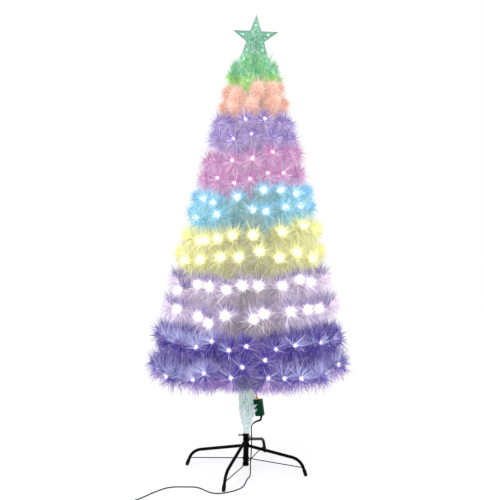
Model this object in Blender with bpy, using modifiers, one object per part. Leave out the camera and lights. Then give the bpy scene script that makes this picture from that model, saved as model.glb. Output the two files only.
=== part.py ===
"""A fibre optic Christmas tree, 1.8 m tall, on a folding steel stand.

Metres, +Z up. The origin is on the floor under the pole, and the front of the tree faces -Y.
Run it in Blender 4.5. Every sub-part becomes one named object.
"""

import math

import bmesh
import bpy
import numpy as np
from mathutils import Euler, Vector

# Clearances that every fit shares
GAP = 0.0003
RUNNING = 0.0004
OVERRUN = 0.004

# Pole and the tube that holds it
POLE_RADIUS = 0.0095
POLE_WALL = 0.0010
SECTION_HEIGHT = 0.900
SPIGOT_LENGTH = 0.060
SPIGOT_WALL = 0.0012
TIP_RADIUS = 0.0050
TIP_LENGTH = 0.040
TUBE_WALL = 0.0012
TUBE_BOTTOM = 0.0222
TUBE_TOP = 0.155
TUBE_LIP_HEIGHT = 0.003
TUBE_LIP_REACH = 0.0035

# Folding leg pairs
COLLAR_WALL = 0.0018
COLLAR_HEIGHT = 0.014
ROD_COLLAR_HEIGHT = 0.008
LEG_RADIUS = 0.00635
LEG_BEND_RADIUS = 0.060
ELBOW_REACH = 0.2207
ELBOW_HEIGHT = 0.0657
FOOT_REACH = 0.245
SIDE_LEG_HEIGHT = 0.105
SIDE_ROD_HEIGHT = 0.053
FRONT_LEG_HEIGHT = 0.130
FRONT_ROD_HEIGHT = 0.0275
SIDE_AZIMUTH = math.radians(-10.6)
FRONT_AZIMUTH = math.radians(-109.4)
ROD_RADIUS = 0.002
ROD_MEETS_HEIGHT = 0.0335
CAP_WALL = 0.0009
CAP_LENGTH = 0.018
CAP_FLAT_DEPTH = 0.0008

# Thumb screws and the nuts welded to the tube
SCREW_HEIGHT = 0.1465
SCREW_RADIUS = 0.003
SCREW_AZIMUTHS = {"left": math.radians(180), "front": math.radians(-57)}
NUT_RADIUS = 0.0058
NUT_HEIGHT = 0.0045
SCREW_NECK = 0.006
SHOULDER_RADIUS = 0.0045
SHOULDER_LENGTH = 0.0016
WING_WIDTH = 0.0115
WING_LENGTH = 0.0105
WING_THICKNESS = 0.0026

# Foliage: rings of brushes on hub rings round the pole
RING_ABOVE_BOX = 0.176
HIGHEST_RING_HEIGHT = 1.603
WIDEST_RING_RADIUS = 0.375
NEEDLE_OVERHANG = 0.030
HUB_WALL = 0.0050
HUB_CLEARANCE = 0.0006
HUB_HEIGHT = 0.014
STEM_RADIUS = 0.0018
STEM_STAGGER = 0.004
BRUSH_RADIUS = 0.048
LOW_SLOPE_SHARE = 0.31
HIGH_SLOPE_SHARE = 0.65
BRUSH_SIDES = 4
# Where a brush swells, as shares of its way from the hub to its lit end
BRUSH_PLACE_SHARES = (0.52, 0.97)
BRUSH_FILL_SHARES = (0.44, 0.48)
RIDGE_SHARE = 0.85
AZIMUTH_JITTER_SHARE = 0.06
HEIGHT_JITTER_SHARE = 0.03
# band, height share and radius share of the low ring, then of the high ring, and brushes in each
BAND_SHARES = (
    ("violet", 0.000, 1.000, 22, 0.091, 0.971, 22),
    ("white", 0.182, 0.896, 20, 0.272, 0.805, 20),
    ("yellow", 0.361, 0.725, 18, 0.431, 0.669, 16),
    ("cyan", 0.508, 0.603, 16, 0.565, 0.560, 14),
    ("pink", 0.625, 0.520, 14, 0.687, 0.459, 12),
    ("purple", 0.748, 0.397, 10, 0.801, 0.357, 10),
    ("orange", 0.855, 0.315, 8, 0.906, 0.275, 8),
    ("green", 0.953, 0.248, 6, 1.000, 0.211, 6),
)
TUFT_DROP = 0.026
TUFT_RADIUS = 0.013
TUFT_REACH = 0.042
TUFT_RISE = 0.072
TUFT_AZIMUTHS = [math.radians(a) for a in (14, 52, 90, 128, 166)]
TUFT_FRONT_REACH = 0.052
TUFT_FRONT_RISE = 0.030
TUFT_FRONT_AZIMUTHS = [math.radians(a) for a in (-35, -68, -112, -145)]
POLE_ABOVE_TOP_RING = 0.015

# Star topper
STAR_RADIUS = 0.091
STAR_INNER_RADIUS = 0.036
STAR_WALL = 0.0012
STAR_SHELL_DEPTH = 0.0050
STAR_CROWN = 0.0035
STAR_DRAFT = 0.0015
STAR_ABOVE_SHOULDER = 0.085
STAR_TILT = math.radians(-1.6)
BOARD_THICKNESS = 0.0012
BOARD_RADIUS = 0.058
BOARD_INNER_RADIUS = 0.016
LAMP_RADIUS = 0.0026
LAMP_HEIGHT = 0.0040
LAMP_PLACE = 0.051
SOCKET_WALL = 0.0026
SOCKET_LENGTH = 0.080
PAD_WIDTH = 0.013
PAD_HEIGHT = 0.026
PAD_REACH = 0.0015

# Fibre bundle round the foot of the pole. Up to the belly its rings stand at shares of the way from
# the tube's top to the box's middle, and further up they rise over the box's upper end
BUNDLE_RADII = {
    "gathered": 0.0115,
    "neck": 0.0135,
    "flare": 0.0210,
    "skirt": 0.0285,
    "belly": 0.0300,
    "waist": 0.0280,
    "shoulder": 0.0285,
    "top": 0.0180,
}
BUNDLE_LOW_SHARES = {"gathered": 0.0446, "neck": 0.2768, "flare": 0.4375, "skirt": 0.5536, "belly": 0.8304}
BUNDLE_RISES = {"waist": 0.0, "shoulder": 0.036, "top": 0.050}
BUNDLE_RIBS = 11
BUNDLE_RIB_SHARE = 0.90

# Control box
BOX_WIDTH = 0.034
BOX_DEPTH = 0.024
BOX_LENGTH = 0.066
BOX_WALL = 0.0018
BOX_EDGE = 0.0030
BOX_HEIGHT_ON_POLE = 0.267
BOX_FORWARD = 0.022
BOX_BESIDE_BUNDLE = 0.0177
BOX_TILT = math.radians(-9.5)
BOX_TURN = math.radians(-18)
BUTTON_RADIUS = 0.0055
BUTTON_PROUD = 0.0022
BUTTON_FLANGE = 0.0015
BUTTON_FLANGE_THICKNESS = 0.0012
BUTTON_STEM_RADIUS = 0.0020
BUTTON_TRAVEL = 0.0015
BUTTON_ASIDE = 0.0060
BUTTON_UP = 0.0180
CIRCUIT_THICKNESS = 0.0016
CIRCUIT_BEHIND_CENTRE = 0.0040
CIRCUIT_END_ROOM = 0.0100
SWITCH_HEIGHT = 0.0035
SWITCH_SIDE = 0.0060
CHIP_SIDE = 0.0090
CHIP_HEIGHT = 0.0030
CHIP_DOWN = 0.0080
NECK_RADIUS = 0.0040
FLANGE_REACH = 0.0015
FLANGE_THICKNESS = 0.0012
GROMMET_ASIDE = 0.0035
GROMMET_RADIUS = 0.0065
GROMMET_TOP_RADIUS = 0.0048
GROMMET_HEIGHT = 0.0080
LEAD_RADIUS_LOW = 0.0042
LEAD_RADIUS_HIGH = 0.0026
LEAD_BOW = 0.010
RELIEF_ASIDE = 0.0030
RELIEF_RADIUS = 0.0042
RELIEF_END_RADIUS = 0.0031
RELIEF_DROP = 0.008
RELIEF_FALL = 0.02995
RELIEF_PLACES = ((0.0530, -0.0335), (0.0365, -0.0405))
RELIEF_FALL_SHARES = (0.532, 0.666)

# Mains cord, its coil, its tie and the plug-in adapter on its end
CORD_RADIUS = 0.00225
CORD_STEP = 0.0135
CORD_HANG_PLACES = (
    (0.0235, -0.0430), (0.0203, -0.0436), (0.0190, -0.0440), (0.0198, -0.0440), (0.0215, -0.0440),
    (0.0215, -0.0440), (0.0207, -0.0440), (0.0196, -0.0440), (0.0190, -0.0448), (0.0192, -0.0485),
)
CORD_HANG_SHARES = (1.0, 0.9707, 0.9317, 0.8488, 0.7073, 0.5610, 0.4146, 0.2829, 0.1707, 0.0878)
CORD_ROUTE = (
    (0.0190, -0.0570, 0.0065), (0.0160, -0.0720, 0.0026), (0.0100, -0.0920, 0.0024),
    (0.0040, -0.1190, 0.0024), (-0.0030, -0.1600, 0.0024), (-0.0170, -0.1960, 0.0024),
    (-0.0410, -0.2220, 0.0024), (-0.0640, -0.2390, 0.0024), (-0.0860, -0.2490, 0.0024),
    (-0.1080, -0.2525, 0.0024), (-0.1290, -0.2455, 0.0024), (-0.1480, -0.2280, 0.0024),
    (-0.1680, -0.2075, 0.0024), (-0.1870, -0.1965, 0.0024), (-0.2090, -0.1950, 0.0024),
    (-0.2340, -0.1965, 0.0024), (-0.2640, -0.1985, 0.0024), (-0.2940, -0.2110, 0.0025),
    (-0.3180, -0.2340, 0.0026), (-0.3420, -0.2640, 0.0028), (-0.3650, -0.2980, 0.0030),
    (-0.3880, -0.3290, 0.0032), (-0.4120, -0.3530, 0.0033), (-0.4330, -0.3720, 0.0034),
    (-0.4450, -0.3900, 0.0034),
)
COIL_CENTRE = (-0.415, -0.415)
COIL_OUTER = 0.0335
COIL_PITCH = 0.0060
COIL_LAYER_RISE = 0.0053
COIL_TURNS_IN = 2.5
COIL_TURNS_OVER = 0.5
COIL_TURNS_OUT = 2.25
COIL_LOOP_POINTS = 24
TIE_THICKNESS = 0.0008
TIE_WIDTH = 0.006
TIE_AZIMUTH = math.radians(50)
ADAPTER_LENGTH = 0.062
ADAPTER_DEPTH = 0.038
ADAPTER_HEIGHT = 0.026
ADAPTER_FACE = 0.006
ADAPTER_EDGE = 0.0035
ADAPTER_AWAY = 0.046
ADAPTER_RELIEF_LENGTH = 0.016
ADAPTER_RELIEF_RADIUS = 0.0050
PIN_LENGTH = 0.0165
PIN_THICKNESS = 0.0015
PIN_WIDTH = 0.0063
PIN_SPACING = 0.0127

# Sizes that follow from the ones above
TUBE_BORE = POLE_RADIUS + RUNNING
TUBE_RADIUS = TUBE_BORE + TUBE_WALL
COLLAR_BORE = TUBE_RADIUS + RUNNING
COLLAR_RADIUS = COLLAR_BORE + COLLAR_WALL
CAP_RADIUS = LEG_RADIUS + GAP + CAP_WALL
POLE_BOTTOM = TUBE_BOTTOM + TUBE_LIP_HEIGHT + GAP
HUB_BORE = POLE_RADIUS + HUB_CLEARANCE
HUB_RADIUS = HUB_BORE + HUB_WALL
POLE_SHOULDER = HIGHEST_RING_HEIGHT + POLE_ABOVE_TOP_RING
STAR_HEIGHT = POLE_SHOULDER + STAR_ABOVE_SHOULDER
SOCKET_RADIUS = TIP_RADIUS + RUNNING + SOCKET_WALL
SCREW_START = POLE_RADIUS + GAP
SCREW_SHOULDER_AT = TUBE_RADIUS + NUT_HEIGHT + SCREW_NECK
CORD_SIDE_ROOM = GAP + TIE_THICKNESS
BOX_UPPER_END = BOX_HEIGHT_ON_POLE + BOX_LENGTH / 2
LOWEST_RING_HEIGHT = BOX_UPPER_END + RING_ABOVE_BOX
BUNDLE_HEIGHTS = {
    **{ring: TUBE_TOP + share * (BOX_HEIGHT_ON_POLE - TUBE_TOP) for ring, share in BUNDLE_LOW_SHARES.items()},
    **{ring: BOX_UPPER_END + rise for ring, rise in BUNDLE_RISES.items()},
}


def clear_scene():
    for thing in list(bpy.data.objects):
        bpy.data.objects.remove(thing, do_unlink=True)


def add_collection(name):
    collection = bpy.data.collections.new(name)
    bpy.context.scene.collection.children.link(collection)
    return collection


clear_scene()
PARTS = add_collection("fibre_optic_christmas_tree")
CUTTERS = add_collection("cutters")


def add_material(name, colour, roughness, metallic=0.0, alpha=1.0):
    material = bpy.data.materials.new(name)
    material.use_nodes = True
    shader = material.node_tree.nodes["Principled BSDF"]
    shader.inputs["Base Color"].default_value = (*colour, 1.0)
    shader.inputs["Roughness"].default_value = roughness
    shader.inputs["Metallic"].default_value = metallic
    shader.inputs["Alpha"].default_value = alpha
    material.diffuse_color = (*colour, alpha)
    return material


BLACK_STEEL = add_material("black_painted_steel", (0.012, 0.012, 0.013), 0.35, 0.2)
BLACK_RUBBER = add_material("black_rubber", (0.010, 0.010, 0.010), 0.70)
ZINC = add_material("zinc_plated_steel", (0.55, 0.57, 0.58), 0.30, 1.0)
GREEN_CASE = add_material("dark_green_abs", (0.004, 0.065, 0.030), 0.42)
CIRCUIT_GREEN = add_material("circuit_laminate", (0.010, 0.120, 0.035), 0.45)
YELLOW_RUBBER = add_material("yellow_rubber", (0.800, 0.520, 0.030), 0.50)
ORANGE_LEAD = add_material("orange_lead", (0.850, 0.200, 0.020), 0.45)
FIBRES = add_material("clear_fibre", (0.560, 0.780, 0.740), 0.25, 0.0, 0.85)
STAR_CLEAR = add_material("tinted_clear_plastic", (0.130, 0.620, 0.330), 0.10, 0.0, 0.55)
STAR_WHITE = add_material("white_plastic", (0.750, 0.780, 0.760), 0.40)
NEEDLES = {
    "violet": add_material("violet_needles", (0.120, 0.060, 0.450), 0.6),
    "white": add_material("white_needles", (0.780, 0.720, 0.880), 0.6),
    "yellow": add_material("yellow_needles", (0.860, 0.800, 0.180), 0.6),
    "cyan": add_material("cyan_needles", (0.100, 0.560, 0.800), 0.6),
    "pink": add_material("pink_needles", (0.560, 0.200, 0.450), 0.6),
    "purple": add_material("purple_needles", (0.210, 0.130, 0.560), 0.6),
    "orange": add_material("orange_needles", (1.000, 0.400, 0.280), 0.6),
    "green": add_material("green_needles", (0.110, 0.550, 0.260), 0.6),
}


def place(thing, location=(0, 0, 0), rotation=(0, 0, 0), parent=None):
    thing.location = location
    thing.rotation_euler = rotation
    thing.parent = parent
    return thing


def add_object(name, mesh, material, smooth_angle=math.radians(35)):
    thing = bpy.data.objects.new(name, mesh)
    PARTS.objects.link(thing)
    mesh.materials.append(material)
    mesh.shade_smooth()
    mesh.set_sharp_from_angle(angle=smooth_angle)
    return thing


def add_empty(name, location=(0, 0, 0), rotation=(0, 0, 0)):
    empty = bpy.data.objects.new(name, None)
    PARTS.objects.link(empty)
    return place(empty, location, rotation)


def mesh_from(name, make, *values, **settings):
    """A mesh that holds what one bmesh operator makes."""
    bm = bmesh.new()
    make(bm, *values, **settings)
    mesh = bpy.data.meshes.new(name)
    bm.to_mesh(mesh)
    bm.free()
    return mesh


def block_mesh(name, size, centre=(0, 0, 0)):
    mesh = mesh_from(name, bmesh.ops.create_cube, size=1)
    for vertex in mesh.vertices:
        vertex.co = [c + s * v for c, s, v in zip(centre, size, vertex.co, strict=True)]
    return mesh


def rod_mesh(name, radius, start, end, sides):
    """A cylinder between two points."""
    start, end = Vector(start), Vector(end)
    mesh = mesh_from(
        name,
        bmesh.ops.create_cone,
        cap_ends=True,
        segments=sides,
        radius1=radius,
        radius2=radius,
        depth=(end - start).length,
    )
    turn = Vector((0, 0, 1)).rotation_difference(end - start)
    for vertex in mesh.vertices:
        vertex.co = turn @ vertex.co + (start + end) / 2
    return mesh


def add_cutter(name, mesh, **where):
    cutter = bpy.data.objects.new(name, mesh)
    CUTTERS.objects.link(cutter)
    cutter.hide_render = True
    cutter.display_type = "WIRE"
    return place(cutter, **where)


def combine(thing, other, operation):
    modifier = thing.modifiers.new(operation.lower(), "BOOLEAN")
    modifier.operation = operation
    modifier.object = other


def cut(thing, *cutters):
    for cutter in cutters:
        combine(thing, cutter, "DIFFERENCE")


def join(thing, *others):
    for other in others:
        combine(thing, other, "UNION")


def round_edges(thing, width, segments=2):
    modifier = thing.modifiers.new("rounded", "BEVEL")
    modifier.width = width
    modifier.segments = segments
    modifier.limit_method = "ANGLE"


def revolve(name, profile, material, steps, closed=False):
    """Turns a profile of (radius, height) points round Z. Its outer side runs from top to bottom."""
    mesh = bpy.data.meshes.new(name)
    count = len(profile)
    edges = [(i, (i + 1) % count) for i in range(count if closed else count - 1)]
    mesh.from_pydata([(r, 0, z) for r, z in profile], edges, [])
    thing = add_object(name, mesh, material)
    screw = thing.modifiers.new("turned", "SCREW")
    screw.steps = steps
    screw.render_steps = steps
    screw.use_merge_vertices = True
    screw.merge_threshold = 0.00001
    return thing


def ring_profile(inner, outer, low, high):
    return [(inner, low), (inner, high), (outer, high), (outer, low)]


def loft(rings, start_point=None, end_point=None, looped=False):
    """Vertices and faces of a skin over rings of equally many points."""
    count = len(rings[0])
    points = [p for ring in rings for p in ring]
    faces = []
    for i in range(len(rings) if looped else len(rings) - 1):
        a, b = i * count, (i + 1) % len(rings) * count
        for k in range(count):
            m = (k + 1) % count
            faces.append((a + k, a + m, b + m, b + k))
    if looped:
        return points, faces
    last = (len(rings) - 1) * count
    for point, first, flip in ((start_point, 0, True), (end_point, last, False)):
        loop = [first + k for k in range(count)]
        if flip:
            loop.reverse()
        if point is None:
            faces.append(tuple(loop))
            continue
        points.append(point)
        for k in range(count):
            faces.append((loop[k], loop[(k + 1) % count], len(points) - 1))
    return points, faces


def skin_mesh(name, skins):
    mesh = bpy.data.meshes.new(name)
    points, faces = [], []
    for skin_points, skin_faces in skins:
        shift = len(points)
        points += [tuple(p) for p in skin_points]
        faces += [tuple(shift + i for i in face) for face in skin_faces]
    mesh.from_pydata(points, [], faces)
    bm = bmesh.new()
    bm.from_mesh(mesh)
    bmesh.ops.recalc_face_normals(bm, faces=bm.faces)
    bm.to_mesh(mesh)
    bm.free()
    return mesh


def add_tube(name, points, radius, material, bevel_resolution=2, radii=None):
    """A round bar along points. radii, if given, holds one radius for each point."""
    curve = bpy.data.curves.new(name, "CURVE")
    curve.dimensions = "3D"
    curve.bevel_depth = radius
    curve.bevel_resolution = bevel_resolution
    curve.use_fill_caps = True
    spline = curve.splines.new("POLY")
    spline.points.add(len(points) - 1)
    for i, point in enumerate(points):
        spline.points[i].co = (*point, 1)
        spline.points[i].radius = radii[i] / radius if radii else 1
    curve.materials.append(material)
    thing = bpy.data.objects.new(name, curve)
    PARTS.objects.link(thing)
    return thing


def as_mesh(tube):
    """The same bar as a mesh whose caps are sewn on, so that it can be cut."""
    bpy.context.view_layer.update()
    graph = bpy.context.evaluated_depsgraph_get()
    mesh = bpy.data.meshes.new_from_object(tube.evaluated_get(graph))
    bm = bmesh.new()
    bm.from_mesh(mesh)
    bmesh.ops.remove_doubles(bm, verts=bm.verts, dist=GAP / 10)
    bm.to_mesh(mesh)
    bm.free()
    name, placed = tube.name, tube.matrix_world.copy()
    material = tube.data.materials[0]
    bpy.data.objects.remove(tube)
    mesh.materials.clear()
    thing = add_object(name, mesh, material)
    thing.matrix_world = placed
    return thing


def evenly(points, step):
    """Points at even distances along a line of points, as close to step as fits."""
    points = np.asarray(points, float)
    along = np.concatenate([[0], np.cumsum(np.linalg.norm(np.diff(points, axis=0), axis=1))])
    count = max(2, round(along[-1] / step) + 1)
    places = np.linspace(0, along[-1], count)
    return np.column_stack([np.interp(places, along, points[:, k]) for k in range(3)])


def smooth_route(route, samples=12):
    """A Catmull-Rom curve through every point of a route."""
    route = np.asarray(route, float)
    ends = [2 * route[0] - route[1], *route, 2 * route[-1] - route[-2]]
    line = []
    for a, b, c, d in zip(ends, ends[1:], ends[2:], ends[3:], strict=False):
        for t in np.linspace(0, 1, samples, endpoint=False):
            line.append(
                (2 * b + (c - a) * t + (2 * a - 5 * b + 4 * c - d) * t**2
                 + (3 * b - a - 3 * c + d) * t**3) / 2
            )
    return np.array([*line, route[-1]])


def straight_ended(route, step):
    """Points along a smooth route whose first and last spans, as chosen, stay straight."""
    samples = 12
    middle = evenly(smooth_route(route, samples)[samples:-samples], step)
    return [tuple(route[0]), *middle, tuple(route[-1])]


def rounded_corner(start, corner, end, radius, room, steps=6):
    """Start, an arc round the corner that ends within its straight room past the corner, and end."""
    start, corner, end = Vector(start), Vector(corner), Vector(end)
    back, on = (start - corner).normalized(), (end - corner).normalized()
    half = back.angle(on) / 2
    radius = min(radius, room * math.tan(half))
    reach = radius / math.tan(half)
    centre = corner + (back + on).normalized() * radius / math.sin(half)
    first = corner + back * reach - centre
    turn = first.rotation_difference(corner + on * reach - centre)
    arc = []
    for i in range(steps + 1):
        step = turn.copy()
        step.angle = turn.angle * i / steps
        arc.append(centre + step @ first)
    return [start, *arc, end]


def polar(azimuth, reach, height=0.0):
    return Vector((reach * math.cos(azimuth), reach * math.sin(azimuth), height))


# The stand: a tube with two welded nuts, and two pairs of legs on collars round it
def make_stand_tube():
    middle = (TUBE_BOTTOM + TUBE_TOP) / 2
    tube = add_object(
        "stand_tube",
        rod_mesh("tube", TUBE_RADIUS, (0, 0, TUBE_BOTTOM), (0, 0, TUBE_TOP), 28),
        BLACK_STEEL,
    )
    for side, azimuth in SCREW_AZIMUTHS.items():
        nut_end = polar(azimuth, TUBE_RADIUS + NUT_HEIGHT, SCREW_HEIGHT)
        nut = rod_mesh("nut", NUT_RADIUS, (0, 0, SCREW_HEIGHT), nut_end, 6)
        join(tube, add_cutter(f"nut_{side}", nut))
    cut(tube, add_cutter("tube_bore", rod_mesh(
        "bore", TUBE_BORE, (0, 0, TUBE_BOTTOM + TUBE_LIP_HEIGHT), (0, 0, TUBE_TOP + OVERRUN), 28)))
    cut(tube, add_cutter("tube_drain", rod_mesh(
        "drain", TUBE_BORE - TUBE_LIP_REACH, (0, 0, TUBE_BOTTOM - OVERRUN), (0, 0, middle), 20)))
    for side, azimuth in SCREW_AZIMUTHS.items():
        hole = rod_mesh(
            "hole",
            SCREW_RADIUS + GAP,
            (0, 0, SCREW_HEIGHT),
            polar(azimuth, TUBE_RADIUS + NUT_HEIGHT + OVERRUN, SCREW_HEIGHT),
            14,
        )
        cut(tube, add_cutter(f"screw_hole_{side}", hole))


def leg_line():
    """A leg in its own plane: elbow, where the rod meets it, middle of its cap's dome and the way down."""
    elbow = Vector((ELBOW_REACH, 0, ELBOW_HEIGHT))
    foot = Vector((FOOT_REACH, 0, 0))
    down = (foot - elbow).normalized()
    dome = foot + down * (CAP_RADIUS - CAP_FLAT_DEPTH) / down.z
    meets = dome + down * (ROD_MEETS_HEIGHT - dome.z) / down.z
    return elbow, meets, dome, down


def make_leg(name, azimuth, height, parent):
    elbow, meets, dome, down = leg_line()
    room = (meets - elbow).length + ROD_RADIUS
    line = rounded_corner((TUBE_WALL, 0, height), elbow, dome - down * GAP, LEG_BEND_RADIUS, room)
    leg = as_mesh(add_tube(name, line, LEG_RADIUS, BLACK_STEEL, 3))
    place(leg, rotation=(0, 0, azimuth), parent=parent)
    saddle = rod_mesh(
        "saddle",
        COLLAR_RADIUS + GAP,
        (0, 0, height - COLLAR_HEIGHT * 2),
        (0, 0, height + COLLAR_HEIGHT * 2),
        40,
    )
    cut(leg, add_cutter(f"{name}_saddle", saddle))


def make_brace(name, azimuth, height, parent):
    _, meets, _, down = leg_line()
    rod = as_mesh(add_tube(name, [(TUBE_WALL, 0, height), meets], ROD_RADIUS, BLACK_STEEL))
    place(rod, rotation=(0, 0, azimuth), parent=parent)
    saddle = rod_mesh(
        "saddle",
        COLLAR_RADIUS + GAP,
        (0, 0, height - ROD_COLLAR_HEIGHT),
        (0, 0, height + ROD_COLLAR_HEIGHT),
        40,
    )
    leg_room = rod_mesh(
        "leg_room",
        LEG_RADIUS + GAP,
        meets - down * 2 * LEG_RADIUS,
        meets + down * 2 * LEG_RADIUS,
        24,
    )
    cut(rod, add_cutter(f"{name}_saddle", saddle))
    cut(rod, add_cutter(f"{name}_leg_room", leg_room, rotation=(0, 0, azimuth), parent=parent))


def make_foot_cap(name, azimuth, floor_cutter, parent):
    _, _, dome, down = leg_line()
    bore = LEG_RADIUS + GAP
    angles = np.linspace(0, math.pi / 2, 5)[1:-1]
    arc = [(CAP_RADIUS * math.cos(a), -CAP_RADIUS * math.sin(a)) for a in angles]
    profile = [(0, 0), (bore, 0), (bore, CAP_LENGTH), (CAP_RADIUS, CAP_LENGTH), (CAP_RADIUS, 0)]
    cap = revolve(name, [*profile, *arc, (0, -CAP_RADIUS)], BLACK_RUBBER, 14)
    lean = math.atan2(-down.x, -down.z)
    place(cap, polar(azimuth, dome.x, dome.z), (0, lean, azimuth), parent)
    cut(cap, floor_cutter)


def make_collar(name, height, tall, parent):
    collar = revolve(
        name,
        ring_profile(COLLAR_BORE, COLLAR_RADIUS, height - tall / 2, height + tall / 2),
        BLACK_STEEL,
        24,
        closed=True,
    )
    place(collar, parent=parent)


def make_leg_pair(pair, azimuths, leg_height, rod_height, floor_cutter, parent):
    make_collar(f"{pair}_leg_collar", leg_height, COLLAR_HEIGHT, parent)
    make_collar(f"{pair}_rod_collar", rod_height, ROD_COLLAR_HEIGHT, parent)
    for side, azimuth in azimuths.items():
        make_leg(f"{side}_leg", azimuth, leg_height, parent)
        make_brace(f"{side}_brace_rod", azimuth, rod_height, parent)
        make_foot_cap(f"{side}_foot_cap", azimuth, floor_cutter, parent)


def make_stand():
    floor_cutter = add_cutter(
        "floor", block_mesh("floor", (3 * FOOT_REACH, 3 * FOOT_REACH, OVERRUN), (0, 0, -OVERRUN / 2))
    )
    make_stand_tube()
    sides = {"right": SIDE_AZIMUTH, "left": SIDE_AZIMUTH + math.pi}
    make_leg_pair("side", sides, SIDE_LEG_HEIGHT, SIDE_ROD_HEIGHT, floor_cutter, None)
    hinge = add_empty("front_leg_pair_hinge")
    fronts = {"front": FRONT_AZIMUTH, "back": FRONT_AZIMUTH + math.pi}
    make_leg_pair("front", fronts, FRONT_LEG_HEIGHT, FRONT_ROD_HEIGHT, floor_cutter, hinge)


def make_thumb_screw(side, azimuth):
    """A screw whose own axis is X, with a flat oval wing as its head."""
    shoulder_end = SCREW_SHOULDER_AT + SHOULDER_LENGTH
    screw = add_object(
        f"thumb_screw_{side}",
        rod_mesh("shank", SCREW_RADIUS, (SCREW_START, 0, 0), (SCREW_SHOULDER_AT, 0, 0), 14),
        ZINC,
    )
    turned = {"location": (0, 0, SCREW_HEIGHT), "rotation": (0, 0, azimuth)}
    place(screw, **turned)
    overlap = SHOULDER_LENGTH / 2
    shoulder_start = SCREW_SHOULDER_AT - overlap
    shoulder = rod_mesh("shoulder", SHOULDER_RADIUS, (shoulder_start, 0, 0), (shoulder_end, 0, 0), 14)
    half = WING_THICKNESS / 2
    wing = rod_mesh("wing", WING_WIDTH / 2, (0, -half, 0), (0, half, 0), 18)
    middle = shoulder_end - overlap + WING_LENGTH / 2
    for vertex in wing.vertices:
        vertex.co.x = middle + vertex.co.x * WING_LENGTH / WING_WIDTH
    join(screw, add_cutter(f"shoulder_{side}", shoulder, **turned))
    join(screw, add_cutter(f"wing_{side}", wing, **turned))


# The pole in two sections, and the foliage on it
def make_poles():
    inner = POLE_RADIUS - POLE_WALL
    revolve(
        "lower_pole",
        ring_profile(inner, POLE_RADIUS, POLE_BOTTOM, SECTION_HEIGHT),
        BLACK_STEEL,
        20,
        closed=True,
    )
    spigot = inner - RUNNING
    bore = spigot - SPIGOT_WALL
    seat, low = SECTION_HEIGHT + GAP, SECTION_HEIGHT - SPIGOT_LENGTH
    bore_top = POLE_SHOULDER - POLE_RADIUS
    top = POLE_SHOULDER + TIP_LENGTH
    profile = [(0, top), (TIP_RADIUS, top), (TIP_RADIUS, POLE_SHOULDER)]
    profile += [(POLE_RADIUS, POLE_SHOULDER), (POLE_RADIUS, seat), (spigot, seat), (spigot, low)]
    profile += [(bore, low), (bore, bore_top), (0, bore_top)]
    revolve("upper_pole", profile, BLACK_STEEL, 20)


def tier_list():
    """Every ring of brushes from the lowest up: name, band, height, radius and number of brushes."""
    tiers = []
    for band, low, low_radius, low_count, high, high_radius, high_count in BAND_SHARES:
        for word, height, radius, count in (
            ("low", low, low_radius, low_count),
            ("high", high, high_radius, high_count),
        ):
            z = LOWEST_RING_HEIGHT + height * (HIGHEST_RING_HEIGHT - LOWEST_RING_HEIGHT)
            tiers.append((f"{band}_branches_{word}", band, z, radius * WIDEST_RING_RADIUS, count))
    return tiers


def slope_at(height):
    share = (height - LOWEST_RING_HEIGHT) / (HIGHEST_RING_HEIGHT - LOWEST_RING_HEIGHT)
    return LOW_SLOPE_SHARE + share * (HIGH_SLOPE_SHARE - LOW_SLOPE_SHARE)


def wobble(index, count, phase):
    """A steady sideways or up and down unevenness between -1 and 1, the same on opposite brushes."""
    return math.sin(index % max(1, count // 2) * 2.4 + phase)


def brush_skin(start, lit_end, widths, heights, overhang, turn):
    """One brush: thin at the hub, swelling along its length, and pointed past its lit end."""
    start, lit_end = Vector(start), Vector(lit_end)
    along = lit_end - start
    forward = along.normalized()
    side = forward.cross(Vector((0, 0, 1))).normalized()
    up = side.cross(forward)
    rings = []
    shares, widths, heights = (0, *BRUSH_PLACE_SHARES), (STEM_RADIUS, *widths), (STEM_RADIUS, *heights)
    for n, (share, wide, high) in enumerate(zip(shares, widths, heights, strict=True)):
        ring = []
        for k in range(BRUSH_SIDES):
            angle = math.tau * (k + n / 2) / BRUSH_SIDES + turn
            ridge = RIDGE_SHARE if (k + n) % 2 and n else 1
            across = side * wide * math.cos(angle) + up * high * math.sin(angle)
            ring.append(start + along * share + across * ridge)
        rings.append(ring)
    return loft(rings, end_point=lit_end + forward * overhang)


def tier_brushes(height, radius, count, room, phase):
    """The skins of one ring of brushes, none reaching its neighbours."""
    slope = slope_at(height)
    pitch = 2 * math.pi / count
    spare_height = room * math.cos(math.atan(slope)) * (1 - 2 * HEIGHT_JITTER_SHARE)
    stem_start = HUB_RADIUS - HUB_WALL / 2
    skins = []
    for i in range(count):
        azimuth = pitch * (i + phase + AZIMUTH_JITTER_SHARE * wobble(i, count, phase))
        stagger = STEM_STAGGER * (1 if i % 2 else -1)
        root = polar(azimuth, stem_start, height - radius * slope + stagger)
        uneven = room * HEIGHT_JITTER_SHARE * wobble(i, count, phase + 1)
        lit = polar(azimuth, radius, height + uneven)
        spare_width = pitch * radius * (1 - 2 * AZIMUTH_JITTER_SHARE)
        widths, heights = [], []
        for share, fill in zip(BRUSH_PLACE_SHARES, BRUSH_FILL_SHARES, strict=True):
            wide = min(BRUSH_RADIUS, fill * spare_width * share)
            widths.append(wide)
            heights.append(min(BRUSH_RADIUS, fill * spare_height, wide * 1.25))
        skins.append(brush_skin(root, lit, widths, heights, NEEDLE_OVERHANG, phase + i))
    return skins


def make_hub(name, base, material, skins):
    """A ring round the pole with the brushes growing out of it, as one body."""
    hub = revolve(
        name,
        ring_profile(HUB_BORE, HUB_RADIUS, base - HUB_HEIGHT / 2, base + HUB_HEIGHT / 2),
        material,
        12,
        closed=True,
    )
    join(hub, add_cutter(f"{name}_brushes", skin_mesh("brushes", skins)))


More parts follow.
